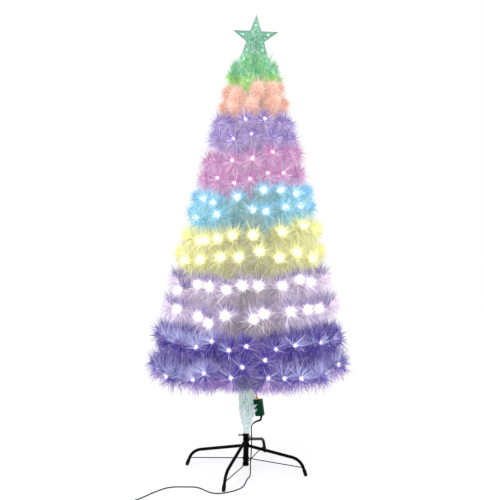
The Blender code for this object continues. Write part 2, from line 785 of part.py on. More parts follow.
def make_foliage():
    tiers = tier_list()
    heights = [z for _, _, z, _, _ in tiers]
    for i, (name, band, height, radius, count) in enumerate(tiers):
        near = [abs(height - heights[k]) for k in (i - 1, i + 1) if 0 <= k < len(tiers)]
        skins = tier_brushes(height, radius, count, min(near), 0.5 * (i % 2))
        make_hub(name, height - radius * slope_at(height), NEEDLES[band], skins)


def make_top_tuft():
    """Upright brushes behind the star, and low ones that stay under it in front."""
    base = POLE_SHOULDER - TUFT_DROP
    ends = [polar(azimuth, TUFT_REACH, base + TUFT_RISE) for azimuth in TUFT_AZIMUTHS]
    ends += [polar(azimuth, TUFT_FRONT_REACH, base + TUFT_FRONT_RISE) for azimuth in TUFT_FRONT_AZIMUTHS]
    skins = []
    for n, lit in enumerate(ends):
        root = polar(math.atan2(lit.y, lit.x), HUB_RADIUS - HUB_WALL / 2, base)
        skins.append(brush_skin(root, lit, [TUFT_RADIUS] * 2, [TUFT_RADIUS] * 2, TUFT_RADIUS, n))
    make_hub("top_tuft", base, NEEDLES["green"], skins)


# The star topper
def star_ring(outer, inner, depth):
    ring = []
    for k in range(10):
        angle = math.pi / 2 + k * math.pi / 5
        reach = inner if k % 2 else outer
        ring.append(Vector((reach * math.cos(angle), depth, reach * math.sin(angle))))
    return ring


def star_rings(inset, depth):
    """An outline of the star, moved in by inset all round."""
    edge = math.atan2(
        STAR_INNER_RADIUS * math.sin(math.pi / 5),
        STAR_RADIUS - STAR_INNER_RADIUS * math.cos(math.pi / 5),
    )
    shrink = 1 - inset / (STAR_RADIUS * math.sin(edge))
    return star_ring(STAR_RADIUS * shrink, STAR_INNER_RADIUS * shrink, depth)


def make_star():
    forward = SOCKET_RADIUS + PAD_REACH + GAP + STAR_SHELL_DEPTH
    hold = add_empty("star_place", (0, -forward, STAR_HEIGHT), (0, -STAR_TILT, 0))
    half = GAP / 2
    front_skin = loft(
        [
            star_rings(STAR_DRAFT, -STAR_SHELL_DEPTH),
            star_rings(0, -half),
            star_rings(STAR_WALL, -half),
            star_rings(STAR_DRAFT + STAR_WALL, STAR_WALL - STAR_SHELL_DEPTH),
        ],
        Vector((0, -STAR_SHELL_DEPTH - STAR_CROWN, 0)),
        Vector((0, STAR_WALL - STAR_SHELL_DEPTH - STAR_CROWN, 0)),
    )
    place(add_object("star_front_shell", skin_mesh("front", [front_skin]), STAR_CLEAR), parent=hold)
    back_skin = loft(
        [
            star_rings(STAR_DRAFT, STAR_SHELL_DEPTH),
            star_rings(0, half),
            star_rings(STAR_WALL, half),
            star_rings(STAR_DRAFT + STAR_WALL, STAR_SHELL_DEPTH - STAR_WALL),
        ]
    )
    place(add_object("star_back_shell", skin_mesh("back", [back_skin]), STAR_CLEAR), parent=hold)
    make_star_board(hold)
    make_star_socket()


def make_star_board(hold):
    back = STAR_SHELL_DEPTH - STAR_WALL - GAP
    front = back - BOARD_THICKNESS
    skin = loft([star_ring(BOARD_RADIUS, BOARD_INNER_RADIUS, y) for y in (back, front)])
    board = add_object("star_light_board", skin_mesh("board", [skin]), STAR_WHITE)
    place(board, parent=hold)
    for k in range(5):
        angle = math.pi / 2 + k * math.tau / 5
        x, z = LAMP_PLACE * math.cos(angle), LAMP_PLACE * math.sin(angle)
        lamp = rod_mesh("lamp", LAMP_RADIUS, (x, back, z), (x, back - LAMP_HEIGHT, z), 10)
        join(board, add_cutter(f"star_lamp_{k}", lamp, parent=hold))


def make_star_socket():
    low = POLE_SHOULDER + GAP
    bore = TIP_RADIUS + RUNNING
    profile = [(0, low + SOCKET_LENGTH), (SOCKET_RADIUS, low + SOCKET_LENGTH), (SOCKET_RADIUS, low)]
    depth = TIP_LENGTH + GAP
    profile += [(bore, low), (bore, low + depth), (0, low + depth)]
    socket = revolve("star_socket", profile, STAR_WHITE, 18)
    reach = SOCKET_RADIUS + PAD_REACH
    middle = (0, SOCKET_WALL / 2 - reach, STAR_HEIGHT - PAD_HEIGHT / 2)
    pad = block_mesh("pad", (PAD_WIDTH, SOCKET_WALL, PAD_HEIGHT), middle)
    join(socket, add_cutter("socket_pad", pad))


# What hangs at the foot of the pole: fibre bundle and control box
def make_fibre_bundle():
    count = 2 * BUNDLE_RIBS
    rings = []
    for name, radius in BUNDLE_RADII.items():
        ring = []
        for k in range(count):
            reach = radius * (BUNDLE_RIB_SHARE if k % 2 else 1)
            ring.append(polar(math.tau * k / count, reach, BUNDLE_HEIGHTS[name]))
        rings.append(ring)
    ends = [BUNDLE_HEIGHTS["top"], BUNDLE_HEIGHTS["gathered"]]
    bore = [[polar(math.tau * k / count, HUB_BORE, z) for k in range(count)] for z in ends]
    skin = loft(rings + bore, looped=True)
    add_object("fibre_bundle", skin_mesh("bundle", [skin]), FIBRES)


def box_place():
    reach = BUNDLE_RADII["belly"] + BOX_BESIDE_BUNDLE
    return (reach, -BOX_FORWARD, BOX_HEIGHT_ON_POLE), (0, BOX_TILT, BOX_TURN)


def box_point(x, y, z):
    """A point of the control box's own frame, in the world."""
    location, rotation = box_place()
    return Vector(location) + Euler(rotation).to_matrix() @ Vector((x, y, z))


def make_case_half(name, keep_front, hold, holes):
    size = (BOX_WIDTH, BOX_DEPTH, BOX_LENGTH)
    half = add_object(name, block_mesh("case", size), GREEN_CASE)
    place(half, parent=hold)
    round_edges(half, BOX_EDGE)
    inside = [s - 2 * BOX_WALL for s in size]
    cavity = add_cutter(f"{name}_cavity", block_mesh("cavity", inside), parent=hold)
    away = GAP / 2 if keep_front else -GAP / 2
    way = 1 if keep_front else -1
    middle = (0, way * (BOX_DEPTH / 2 + OVERRUN) - away, 0)
    other = block_mesh("other", [s + 2 * OVERRUN for s in size], middle)
    cut(half, cavity, add_cutter(f"{name}_other_half", other, parent=hold), *holes)


def make_control_box():
    location, rotation = box_place()
    hold = add_empty("control_box_place", location, rotation)
    end = BOX_LENGTH / 2
    hole_radius = NECK_RADIUS + GAP
    beyond = end + OVERRUN
    top_hole = rod_mesh("top", hole_radius, (-GROMMET_ASIDE, 0, 0), (-GROMMET_ASIDE, 0, beyond), 14)
    low_hole = rod_mesh("low", hole_radius, (RELIEF_ASIDE, 0, 0), (RELIEF_ASIDE, 0, -beyond), 14)
    front = -BOX_DEPTH / 2
    button_hole = rod_mesh(
        "button_hole",
        BUTTON_RADIUS + GAP,
        (-BUTTON_ASIDE, front + BOX_WALL + OVERRUN / 2, BUTTON_UP),
        (-BUTTON_ASIDE, front - OVERRUN, BUTTON_UP),
        20,
    )
    ends = [add_cutter("grommet_hole", top_hole, parent=hold)]
    ends.append(add_cutter("relief_hole", low_hole, parent=hold))
    button_cutter = add_cutter("button_hole", button_hole, parent=hold)
    make_case_half("control_box_front", True, hold, [*ends, button_cutter])
    make_case_half("control_box_back", False, hold, ends)
    make_mode_button(hold)
    make_circuit_board(hold)
    make_grommet_and_lead(hold)
    make_strain_relief(hold)


def make_mode_button(hold):
    """A round cap, a flange that stops it inside the case, and a stem that ends above the switch."""
    wall_inside = BOX_WALL + GAP
    flange_back = wall_inside + BUTTON_FLANGE_THICKNESS
    switch_top = BOX_DEPTH / 2 + CIRCUIT_BEHIND_CENTRE - SWITCH_HEIGHT
    stem_end = switch_top - BUTTON_TRAVEL - GAP
    flange = BUTTON_RADIUS + BUTTON_FLANGE
    profile = [
        (0, BUTTON_PROUD),
        (BUTTON_RADIUS * 0.8, BUTTON_PROUD),
        (BUTTON_RADIUS, BUTTON_PROUD / 2),
        (BUTTON_RADIUS, -wall_inside),
        (flange, -wall_inside),
        (flange, -flange_back),
        (BUTTON_STEM_RADIUS, -flange_back),
        (BUTTON_STEM_RADIUS, -stem_end),
        (0, -stem_end),
    ]
    button = revolve("mode_button", profile, GREEN_CASE, 20)
    place(button, (-BUTTON_ASIDE, -BOX_DEPTH / 2, BUTTON_UP), (math.pi / 2, 0, 0), hold)


def make_circuit_board(hold):
    wide = BOX_WIDTH - 2 * (BOX_WALL + GAP)
    long = BOX_LENGTH - 2 * (BOX_WALL + CIRCUIT_END_ROOM)
    front = CIRCUIT_BEHIND_CENTRE
    sunk = CIRCUIT_THICKNESS / 2
    board = block_mesh("laminate", (wide, CIRCUIT_THICKNESS, long), (0, front + sunk, 0))
    board = place(add_object("circuit_board", board, CIRCUIT_GREEN), parent=hold)
    switch = block_mesh(
        "switch",
        (SWITCH_SIDE, SWITCH_HEIGHT + sunk, SWITCH_SIDE),
        (-BUTTON_ASIDE, front + (sunk - SWITCH_HEIGHT) / 2, BUTTON_UP),
    )
    chip_middle = (0, front + (sunk - CHIP_HEIGHT) / 2, -CHIP_DOWN)
    chip = block_mesh("chip", (CHIP_SIDE, CHIP_HEIGHT + sunk, CHIP_SIDE), chip_middle)
    join(board, add_cutter("switch", switch, parent=hold), add_cutter("chip", chip, parent=hold))


def collared(outside_profile):
    """A turned profile with a neck through the case's wall and a flange inside. Z runs out of the case."""
    flange = NECK_RADIUS + FLANGE_REACH
    inside = -BOX_WALL - GAP
    return [
        *outside_profile,
        (NECK_RADIUS, GAP),
        (NECK_RADIUS, inside),
        (flange, inside),
        (flange, inside - FLANGE_THICKNESS),
        (0, inside - FLANGE_THICKNESS),
    ]


def make_grommet_and_lead(hold):
    outside = [(0, GROMMET_HEIGHT), (GROMMET_TOP_RADIUS, GROMMET_HEIGHT)]
    outside += [(GROMMET_RADIUS, GROMMET_HEIGHT / 3), (GROMMET_RADIUS, GAP)]
    grommet = revolve("output_grommet", collared(outside), YELLOW_RUBBER, 18)
    end = BOX_LENGTH / 2
    place(grommet, (-GROMMET_ASIDE, 0, end), parent=hold)
    start = box_point(-GROMMET_ASIDE, 0, end + GROMMET_HEIGHT + GAP)
    leave = box_point(-GROMMET_ASIDE, 0, end + GROMMET_HEIGHT + LEAD_RADIUS_LOW)
    height, seat = BUNDLE_HEIGHTS["shoulder"], BUNDLE_RADII["shoulder"]
    azimuth = math.atan2(start.y, start.x)
    over = polar(azimuth, seat + LEAD_BOW, height - LEAD_BOW)
    near = polar(azimuth, seat + LEAD_RADIUS_LOW, height)
    finish = polar(azimuth, seat + GAP, height)
    points = straight_ended([start, leave, over, near, finish], LEAD_BOW / 2)
    radii = list(np.linspace(LEAD_RADIUS_LOW, LEAD_RADIUS_HIGH, len(points)))
    add_tube("output_lead", points, LEAD_RADIUS_LOW, ORANGE_LEAD, 1, radii)


def box_lower_end():
    return box_point(RELIEF_ASIDE, 0, -BOX_LENGTH / 2).z


def hanging_points():
    """The cord's points from its relief down to near the floor, at shares of the height it starts from."""
    high = box_lower_end() - RELIEF_FALL
    places = zip(CORD_HANG_PLACES, CORD_HANG_SHARES, strict=True)
    return [Vector((x, y, share * high)) for (x, y), share in places]


def relief_line():
    """From the bottom of the box, round to the side and on to the start of the cord."""
    start = box_point(RELIEF_ASIDE, 0, -BOX_LENGTH / 2 - GAP)
    leave = box_point(RELIEF_ASIDE, 0, -BOX_LENGTH / 2 - RELIEF_DROP)
    places = zip(RELIEF_PLACES, RELIEF_FALL_SHARES, strict=True)
    turns = [(x, y, box_lower_end() - share * RELIEF_FALL) for (x, y), share in places]
    first, second = hanging_points()[:2]
    back = (first - second).normalized()
    finish = first + back * GAP
    near = finish + back * 2 * RELIEF_END_RADIUS
    return straight_ended([start, leave, *turns, near, finish], 2 * RELIEF_END_RADIUS)


def make_strain_relief(hold):
    points = relief_line()
    radii = list(np.linspace(RELIEF_RADIUS, RELIEF_END_RADIUS, len(points)))
    relief = as_mesh(add_tube("strain_relief", points, RELIEF_RADIUS, BLACK_RUBBER, 2, radii))
    inside = BOX_WALL + GAP
    flange = NECK_RADIUS + FLANGE_REACH
    top = inside + FLANGE_THICKNESS
    neck = rod_mesh("neck", NECK_RADIUS, (0, 0, -RELIEF_RADIUS), (0, 0, (inside + top) / 2), 14)
    disc = rod_mesh("disc", flange, (0, 0, inside), (0, 0, top), 14)
    where = {"location": (RELIEF_ASIDE, 0, -BOX_LENGTH / 2), "parent": hold}
    join(relief, add_cutter("relief_neck", neck, **where))
    join(relief, add_cutter("relief_flange", disc, **where))


# The mains cord, its coil, and the plug-in adapter
def coil_reach(turn):
    """How far from the middle of the coil the cord lies after this many turns."""
    outward = max(turn - COIL_TURNS_IN - COIL_TURNS_OVER, 0)
    return COIL_OUTER - COIL_PITCH * (min(turn, COIL_TURNS_IN) - outward)


def coil_point(turn):
    """In to the middle on the floor, up a layer in half a turn, and out again."""
    over = min(max((turn - COIL_TURNS_IN) / COIL_TURNS_OVER, 0), 1)
    rise = COIL_LAYER_RISE * (1 - math.cos(math.pi * over)) / 2
    height = CORD_SIDE_ROOM + CORD_RADIUS + rise
    return Vector((*COIL_CENTRE, 0)) + polar(math.pi + math.tau * turn, coil_reach(turn), height)


COIL_TURNS = COIL_TURNS_IN + COIL_TURNS_OVER + COIL_TURNS_OUT


def adapter_middle():
    x = COIL_CENTRE[0] + ADAPTER_AWAY + ADAPTER_RELIEF_LENGTH + ADAPTER_LENGTH / 2
    return Vector((x, coil_point(COIL_TURNS).y, ADAPTER_HEIGHT / 2))


def self_gap(line, radius):
    """The least distance between two surfaces of a wound tube, left out where they are neighbours."""
    steps = evenly(line, radius)
    away = np.linalg.norm(steps[:, None] - steps[None], axis=2)
    apart = np.abs(np.arange(len(steps))[:, None] - np.arange(len(steps))[None])
    return away[apart > 12].min() - 2 * radius


def make_cord():
    turns = np.linspace(0, COIL_TURNS, round(COIL_TURNS * COIL_LOOP_POINTS) + 1)
    coil = [coil_point(turn) for turn in turns]
    diameter = 2 * CORD_RADIUS
    entry = coil[0] + Vector((0, diameter, 0))
    meets = entry + Vector((0, GAP, 0))
    straight = meets + Vector((0, diameter, 0))
    cord = straight_ended([*hanging_points(), *CORD_ROUTE, straight, meets], CORD_STEP)
    add_tube("cord", cord, CORD_RADIUS, BLACK_RUBBER)
    middle = adapter_middle()
    finish = middle - Vector((ADAPTER_LENGTH / 2 + ADAPTER_RELIEF_LENGTH + GAP, 0, 0))
    lead_out = finish - Vector((diameter, 0, 0))
    tail = straight_ended([coil[-2], coil[-1], lead_out, finish], diameter)[2:]
    winding = [entry, *coil, *tail]
    add_tube("cord_coil", winding, CORD_RADIUS, BLACK_RUBBER, 1)
    length = sum(np.linalg.norm(np.diff(line, axis=0), axis=1).sum() for line in (cord, winding))
    print(f"cord {length:.3f} m, {len(cord)} and {len(winding)} points")
    print(f"least gap in the coil {1000 * self_gap(winding, CORD_RADIUS):.2f} mm")


def make_cord_tie():
    """A flat band round the turns of the coil."""
    first_pass = (TIE_AZIMUTH - math.pi) / math.tau % 1
    inner = coil_reach(COIL_TURNS_IN) - CORD_RADIUS - GAP
    outer = coil_reach(first_pass) + CORD_RADIUS + GAP
    high = CORD_SIDE_ROOM + 2 * CORD_RADIUS + COIL_LAYER_RISE + GAP
    wide, top = outer - inner, high + TIE_THICKNESS
    middle = ((outer + inner) / 2, 0, top / 2)
    where = {"location": (*COIL_CENTRE, 0), "rotation": (0, 0, TIE_AZIMUTH)}
    band = block_mesh("band", (wide + 2 * TIE_THICKNESS, TIE_WIDTH, top), middle)
    hole = block_mesh("hole", (wide, TIE_WIDTH + OVERRUN, top - 2 * TIE_THICKNESS), middle)
    tie = place(add_object("cord_tie", band, BLACK_RUBBER), **where)
    cut(tie, add_cutter("tie_hole", hole, **where))


def make_adapter():
    """A plug-in power adapter that lies on the floor, its two flat pins towards -Y."""
    middle = adapter_middle()
    hold = add_empty("adapter_place", middle)
    body_size = (ADAPTER_LENGTH, ADAPTER_DEPTH - ADAPTER_FACE - GAP, ADAPTER_HEIGHT)
    body = block_mesh("body", body_size, (0, (ADAPTER_FACE + GAP) / 2, 0))
    body = place(add_object("adapter_body", body, BLACK_RUBBER), parent=hold)
    round_edges(body, ADAPTER_EDGE)
    face_size = (ADAPTER_LENGTH, ADAPTER_FACE, ADAPTER_HEIGHT)
    face = block_mesh("face", face_size, (0, (ADAPTER_FACE - ADAPTER_DEPTH) / 2, 0))
    place(add_object("adapter_pin_face", face, BLACK_RUBBER), parent=hold)
    front = -ADAPTER_DEPTH / 2
    for word, side in (("left", -1), ("right", 1)):
        middle = (side * PIN_SPACING / 2, front - GAP - PIN_LENGTH / 2, 0)
        pin = block_mesh("pin", (PIN_THICKNESS, PIN_LENGTH, PIN_WIDTH), middle)
        place(add_object(f"plug_pin_{word}", pin, ZINC), parent=hold)
    start, end = -ADAPTER_LENGTH / 2 - GAP, -ADAPTER_LENGTH / 2 - ADAPTER_RELIEF_LENGTH
    relief = add_tube(
        "adapter_relief",
        [(start, 0, 0), (end, 0, 0)],
        ADAPTER_RELIEF_RADIUS,
        BLACK_RUBBER,
        radii=[ADAPTER_RELIEF_RADIUS, RELIEF_END_RADIUS],
    )
    place(relief, parent=hold)


make_stand()
for screw_side, screw_azimuth in SCREW_AZIMUTHS.items():
    make_thumb_screw(screw_side, screw_azimuth)
make_poles()
make_foliage()
make_top_tuft()
make_star()
make_fibre_bundle()
make_control_box()
make_cord()
make_cord_tie()
make_adapter()
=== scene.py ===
# %% [markdown]
# # Dressing a fibre optic Christmas tree
#
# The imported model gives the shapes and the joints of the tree. This lesson gives it the look of the
# real one: tinsel needles on wire branches, lit fibre ends, a moulded star, powder coated legs and a
# mains cord. Everything is made in metres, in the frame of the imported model, so each new piece lands where
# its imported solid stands.

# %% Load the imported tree
import math

import bmesh
import bpy
import numpy as np
from mathutils import Euler, Matrix, Vector


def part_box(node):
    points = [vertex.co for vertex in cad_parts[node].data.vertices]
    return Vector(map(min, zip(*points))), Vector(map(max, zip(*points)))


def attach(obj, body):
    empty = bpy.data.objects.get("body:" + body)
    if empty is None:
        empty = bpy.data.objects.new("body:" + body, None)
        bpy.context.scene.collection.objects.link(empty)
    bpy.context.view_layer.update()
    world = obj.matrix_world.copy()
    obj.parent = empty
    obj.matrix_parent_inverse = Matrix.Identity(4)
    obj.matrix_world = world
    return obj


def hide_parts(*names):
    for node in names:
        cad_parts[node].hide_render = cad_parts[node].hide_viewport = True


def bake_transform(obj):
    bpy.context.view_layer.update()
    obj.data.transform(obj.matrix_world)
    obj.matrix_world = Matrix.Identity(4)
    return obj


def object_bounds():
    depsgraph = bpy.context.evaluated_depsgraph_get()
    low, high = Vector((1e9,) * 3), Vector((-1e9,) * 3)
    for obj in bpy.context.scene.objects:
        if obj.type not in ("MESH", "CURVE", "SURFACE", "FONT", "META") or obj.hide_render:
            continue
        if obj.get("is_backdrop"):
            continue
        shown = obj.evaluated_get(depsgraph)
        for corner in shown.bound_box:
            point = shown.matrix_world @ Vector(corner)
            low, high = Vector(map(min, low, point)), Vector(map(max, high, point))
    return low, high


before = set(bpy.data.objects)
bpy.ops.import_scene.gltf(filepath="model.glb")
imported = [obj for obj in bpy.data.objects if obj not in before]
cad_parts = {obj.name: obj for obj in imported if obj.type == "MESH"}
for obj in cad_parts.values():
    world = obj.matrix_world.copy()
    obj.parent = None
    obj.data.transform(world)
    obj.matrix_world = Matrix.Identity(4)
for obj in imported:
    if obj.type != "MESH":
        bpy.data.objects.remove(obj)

cad_box = [list(corner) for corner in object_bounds()]

# %% [markdown]
# ## The camera
#
# The photograph was taken from about three metres, a little below eye level, and leans a degree or so.
# Its place and lens were worked out from the feet, the pole and the star. The camera comes first,
# because the cord's coil has to lie outside what it sees.

# %% Place the camera
PITCH, ROLL, YAW = math.radians(5), math.radians(1.25), math.radians(-0.6)
CAMERA_PLACE = (0, -3.2, 1.17)
# the focal length and the picture's height in pixels, and the sensor's height in millimetres
FOCAL_PIXELS, IMAGE_HEIGHT, SENSOR = 818, 500, 24

turn = Matrix.Rotation(-YAW, 3, "Z")
level_right = turn @ Vector((1, 0, 0))
ahead = turn @ Vector((0, math.cos(PITCH), -math.sin(PITCH)))
level_up = turn @ Vector((0, math.sin(PITCH), math.cos(PITCH)))
right = level_right * math.cos(ROLL) + level_up * math.sin(ROLL)
up = level_up * math.cos(ROLL) - level_right * math.sin(ROLL)

camera = bpy.data.objects.new("camera", bpy.data.cameras.new("camera"))
bpy.context.scene.collection.objects.link(camera)
camera.matrix_world = Matrix.Translation(CAMERA_PLACE) @ Matrix((right, up, -ahead)).transposed().to_4x4()
camera.data.sensor_fit = "VERTICAL"
camera.data.sensor_height = SENSOR
camera.data.lens = FOCAL_PIXELS * SENSOR / IMAGE_HEIGHT
bpy.context.scene.camera = camera
print(f"lens {camera.data.lens:.1f} mm")


# %% [markdown]
# ## Small helpers for materials
#
# Colours are given as sRGB hex values, and shaders want linear light, so one function turns them.
# A second one adds a node, sets it and links it, so that each material below reads as a short list.
#
# Hardly any finish is one flat colour: grain, dust or flow marks make it wander. Most materials here share
# a third helper, in which a noise as coarse as the real marks picks the shade and lifts the surface.

# %% Colour and node helpers
def linear(colour, alpha=1.0):
    """An sRGB hex value such as "#8E97CC" as linear red, green, blue and alpha."""
    levels = [int(colour[i : i + 2], 16) / 255 for i in (1, 3, 5)]
    return tuple(c / 12.92 if c <= 0.04045 else ((c + 0.055) / 1.055) ** 2.4 for c in levels) + (alpha,)


def add_node(tree, kind, inputs=None, stops=(), **settings):
    """A node with its settings. Inputs that are sockets are linked. A ramp gets (place, hex colour) stops."""
    node = tree.nodes.new(kind)
    for name, value in settings.items():
        setattr(node, name, value)
    for name, value in (inputs or {}).items():
        if isinstance(value, bpy.types.NodeSocket):
            tree.links.new(value, node.inputs[name])
        else:
            node.inputs[name].default_value = value
    if stops:
        marks = node.color_ramp.elements
        marks.remove(marks[1])
        marks[0].position = stops[0][0]
        marks[0].color = linear(stops[0][1])
        for place, colour in stops[1:]:
            marks.new(place).color = linear(colour)
    return node


def start_material(name, **sockets):
    """A material with one Principled shader, whose plain sockets are set by name."""
    material = bpy.data.materials.new(name)
    material.use_nodes = True
    tree = material.node_tree
    shader = tree.nodes["Principled BSDF"]
    for socket, value in sockets.items():
        shader.inputs[socket.replace("_", " ")].default_value = value
    return material, tree, shader


print("a mid grey is", [round(c, 3) for c in linear("#808080")])


# %% A finish whose shade wanders
def mottled(name, scale, stops, bump_depth=0.0, bump_strength=0.4, detail=4.0, **sockets):
    """A material whose shade wanders between stops, with a bump of the same grain. scale is per metre."""
    material, tree, shader = start_material(name, **sockets)
    texture = add_node(tree, "ShaderNodeTexCoord")
    marks = {"Vector": texture.outputs["Object"], "Scale": scale, "Detail": detail}
    grain = add_node(tree, "ShaderNodeTexNoise", marks)
    shades = add_node(tree, "ShaderNodeValToRGB", {"Fac": grain.outputs["Fac"]}, stops)
    tree.links.new(shades.outputs["Color"], shader.inputs["Base Color"])
    if bump_depth:
        relief = {"Height": grain.outputs["Fac"], "Strength": bump_strength, "Distance": bump_depth}
        bump = add_node(tree, "ShaderNodeBump", relief)
        tree.links.new(bump.outputs["Normal"], shader.inputs["Normal"])
    return material


print("marks 2 mm across have a scale of", round(1 / 0.002), "to the metre")


# %% [markdown]
# ## Swept tubes
#
# A cord, a wire and a bent leg are all one round section carried along a line. A curve with a bevel would
# do, but this helper makes a mesh tube. It turns the section as little as it can from point to point,
# which keeps the surface free of twist.

# %% Lines through points
def evenly(points, step):
    """Points at even distances along a line, as close to step apart as fits."""
    points = np.asarray(points, float)
    along = np.concatenate([[0], np.cumsum(np.linalg.norm(np.diff(points, axis=0), axis=1))])
    places = np.linspace(0, along[-1], max(2, round(along[-1] / step) + 1))
    return np.column_stack([np.interp(places, along, points[:, k]) for k in range(3)])


def smooth_line(points, samples=12):
    """A curve through every point."""
    points = np.asarray(points, float)
    ends = [2 * points[0] - points[1], *points, 2 * points[-1] - points[-2]]
    line = []
    for a, b, c, d in zip(ends, ends[1:], ends[2:], ends[3:]):
        for t in np.linspace(0, 1, samples, endpoint=False):
            cubic = (3 * b - a - 3 * c + d) * t**3
            line.append((2 * b + (c - a) * t + (2 * a - 5 * b + 4 * c - d) * t**2 + cubic) / 2)
    return np.array([*line, points[-1]])


print("three points make a smooth line of", len(smooth_line([(0, 0, 0), (1, 0, 0), (1, 1, 0)])), "points")


# %% A tube along a line of points
def tube_mesh(points, radii, sides=12):
    """Vertices and faces of a closed tube. radii is one number or one for each point."""
    points = np.asarray(points, float)
    radii = np.broadcast_to(radii, len(points))
    tangents = np.gradient(points, axis=0)
    tangents /= np.linalg.norm(tangents, axis=1)[:, None]
    across = np.cross(tangents[0], (0, 0, 1) if abs(tangents[0][2]) < 0.9 else (1, 0, 0))
    angles = math.tau * np.arange(sides) / sides
    verts = []
    for point, tangent, radius in zip(points, tangents, radii):
        across = across - tangent * (across @ tangent)
        across /= np.linalg.norm(across)
        other = np.cross(tangent, across)
        verts.append(point + radius * (np.outer(np.cos(angles), across) + np.outer(np.sin(angles), other)))
    verts = np.concatenate([*verts, points[:1], points[-1:]])
    faces = []
    for i in range(len(points) - 1):
        for k in range(sides):
            a, b = i * sides + k, i * sides + (k + 1) % sides
            faces.append((a, b, b + sides, a + sides))
    first, last = len(verts) - 2, len(verts) - 1
    end = (len(points) - 1) * sides
    for k in range(sides):
        faces.append((first, (k + 1) % sides, k))
        faces.append((last, end + k, end + (k + 1) % sides))
    return verts, faces


def joined(meshes):
    """Several pairs of vertices and faces as one pair."""
    verts, faces, done = [], [], 0
    for found, sides in meshes:
        verts.append(found)
        faces += [tuple(done + k for k in face) for face in sides]
        done += len(found)
    return np.concatenate(verts), faces


print("a straight test tube has", len(tube_mesh([(0, 0, 0), (0, 0, 1)], 0.1)[1]), "faces")


# %% A mesh as a piece of the scene
def place_mesh(name, mesh, materials, body=None):
    """Puts a mesh into the scene with its materials. It rides on a body if one is named."""
    for material in materials:
        mesh.materials.append(material)
    piece = bpy.data.objects.new(name, mesh)
    bpy.context.scene.collection.objects.link(piece)
    if body:
        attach(piece, body)
    return piece


def new_piece(name, verts, faces, material, body=None, smooth=True):
    """A piece made from vertices and faces."""
    mesh = bpy.data.meshes.new(name)
    mesh.from_pydata([tuple(v) for v in verts], [], [tuple(f) for f in faces])
    mesh.polygons.foreach_set("use_smooth", [smooth] * len(mesh.polygons))
    return place_mesh(name, mesh, [material], body)


# %% [markdown]
# ## The mains cord
#
# The cord is black PVC, 4.5 mm thick. It leaves the strain relief under the box, hangs beside the stand,
# runs along the floor and out of the picture, and what isn't seen lies in a small coil with the plug-in
# adapter. PVC is pressed round its wires while it is hot, so it is smooth and has a soft sheen. A simulated
# rope would find a route of its own, but this one has to follow the photograph. So it is a list of points
# for the part that is seen, and a few lines of code for the coil.

# %% PVC for the cord
# dust and wear lie on it in patches about 6 mm across, so 160 to the metre
cord_pvc = mottled(
    "cord_pvc", 160.0, [(0.35, "#020303"), (0.75, "#08090A")], 0.0003, 0.15, Roughness=0.42, IOR=1.53,
    Specular_IOR_Level=0.06,
)
print("material", cord_pvc.name)

# %% The cord's route
CORD_RADIUS = 0.00225
CORD_HANGS = [
    (0.0235, -0.0430, 0.2050), (0.0203, -0.0436, 0.1990), (0.0190, -0.0440, 0.1910),
    (0.0198, -0.0440, 0.1740), (0.0215, -0.0440, 0.1450), (0.0215, -0.0440, 0.1150),
    (0.0207, -0.0440, 0.0850), (0.0196, -0.0440, 0.0580), (0.0190, -0.0448, 0.0350),
    (0.0192, -0.0485, 0.0180),
]
CORD_LIES = [
    (0.0190, -0.0570, 0.0065), (0.0160, -0.0720, 0.0026), (0.0100, -0.0920, 0.0024),
    (0.0040, -0.1190, 0.0024), (-0.0030, -0.1600, 0.0024), (-0.0170, -0.1960, 0.0024),
    (-0.0410, -0.2220, 0.0024), (-0.0640, -0.2390, 0.0024), (-0.0860, -0.2490, 0.0024),
    (-0.1080, -0.2525, 0.0024), (-0.1290, -0.2455, 0.0024), (-0.1480, -0.2280, 0.0024),
    (-0.1680, -0.2075, 0.0024), (-0.1870, -0.1965, 0.0024), (-0.2090, -0.1950, 0.0024),
    (-0.2340, -0.1965, 0.0024), (-0.2640, -0.1985, 0.0024), (-0.2940, -0.2110, 0.0025),
    (-0.3180, -0.2340, 0.0026), (-0.3420, -0.2640, 0.0028), (-0.3650, -0.2980, 0.0030),
    (-0.3880, -0.3290, 0.0032), (-0.4120, -0.3530, 0.0033), (-0.4330, -0.3720, 0.0034),
    (-0.4450, -0.3900, 0.0034),
]
COIL_CENTRE = np.array([-0.415, -0.415])
# turns on the floor, turns in which it climbs a layer, and turns on top
TURNS_IN, TURNS_OVER, TURNS_OUT = 2.5, 0.5, 2.25
TURNS = TURNS_IN + TURNS_OVER + TURNS_OUT
COIL_RADIUS, TURN_STEP = 0.0335, 0.006
FIRST_LAYER, LAYER_RISE = 0.0011 + CORD_RADIUS, 0.0053


def coil_point(turn):
    """In to the middle on the floor, up a layer in half a turn, and out again."""
    over = min(max((turn - TURNS_IN) / TURNS_OVER, 0), 1)
    outward = max(turn - TURNS_IN - TURNS_OVER, 0)
    reach = COIL_RADIUS - TURN_STEP * (min(turn, TURNS_IN) - outward)
    angle = math.pi + math.tau * turn
    height = FIRST_LAYER + LAYER_RISE * (1 - math.cos(math.pi * over)) / 2
    return (COIL_CENTRE[0] + reach * math.cos(angle), COIL_CENTRE[1] + reach * math.sin(angle), height)


print(TURNS, "turns, which start at", [round(float(c), 4) for c in coil_point(0)])

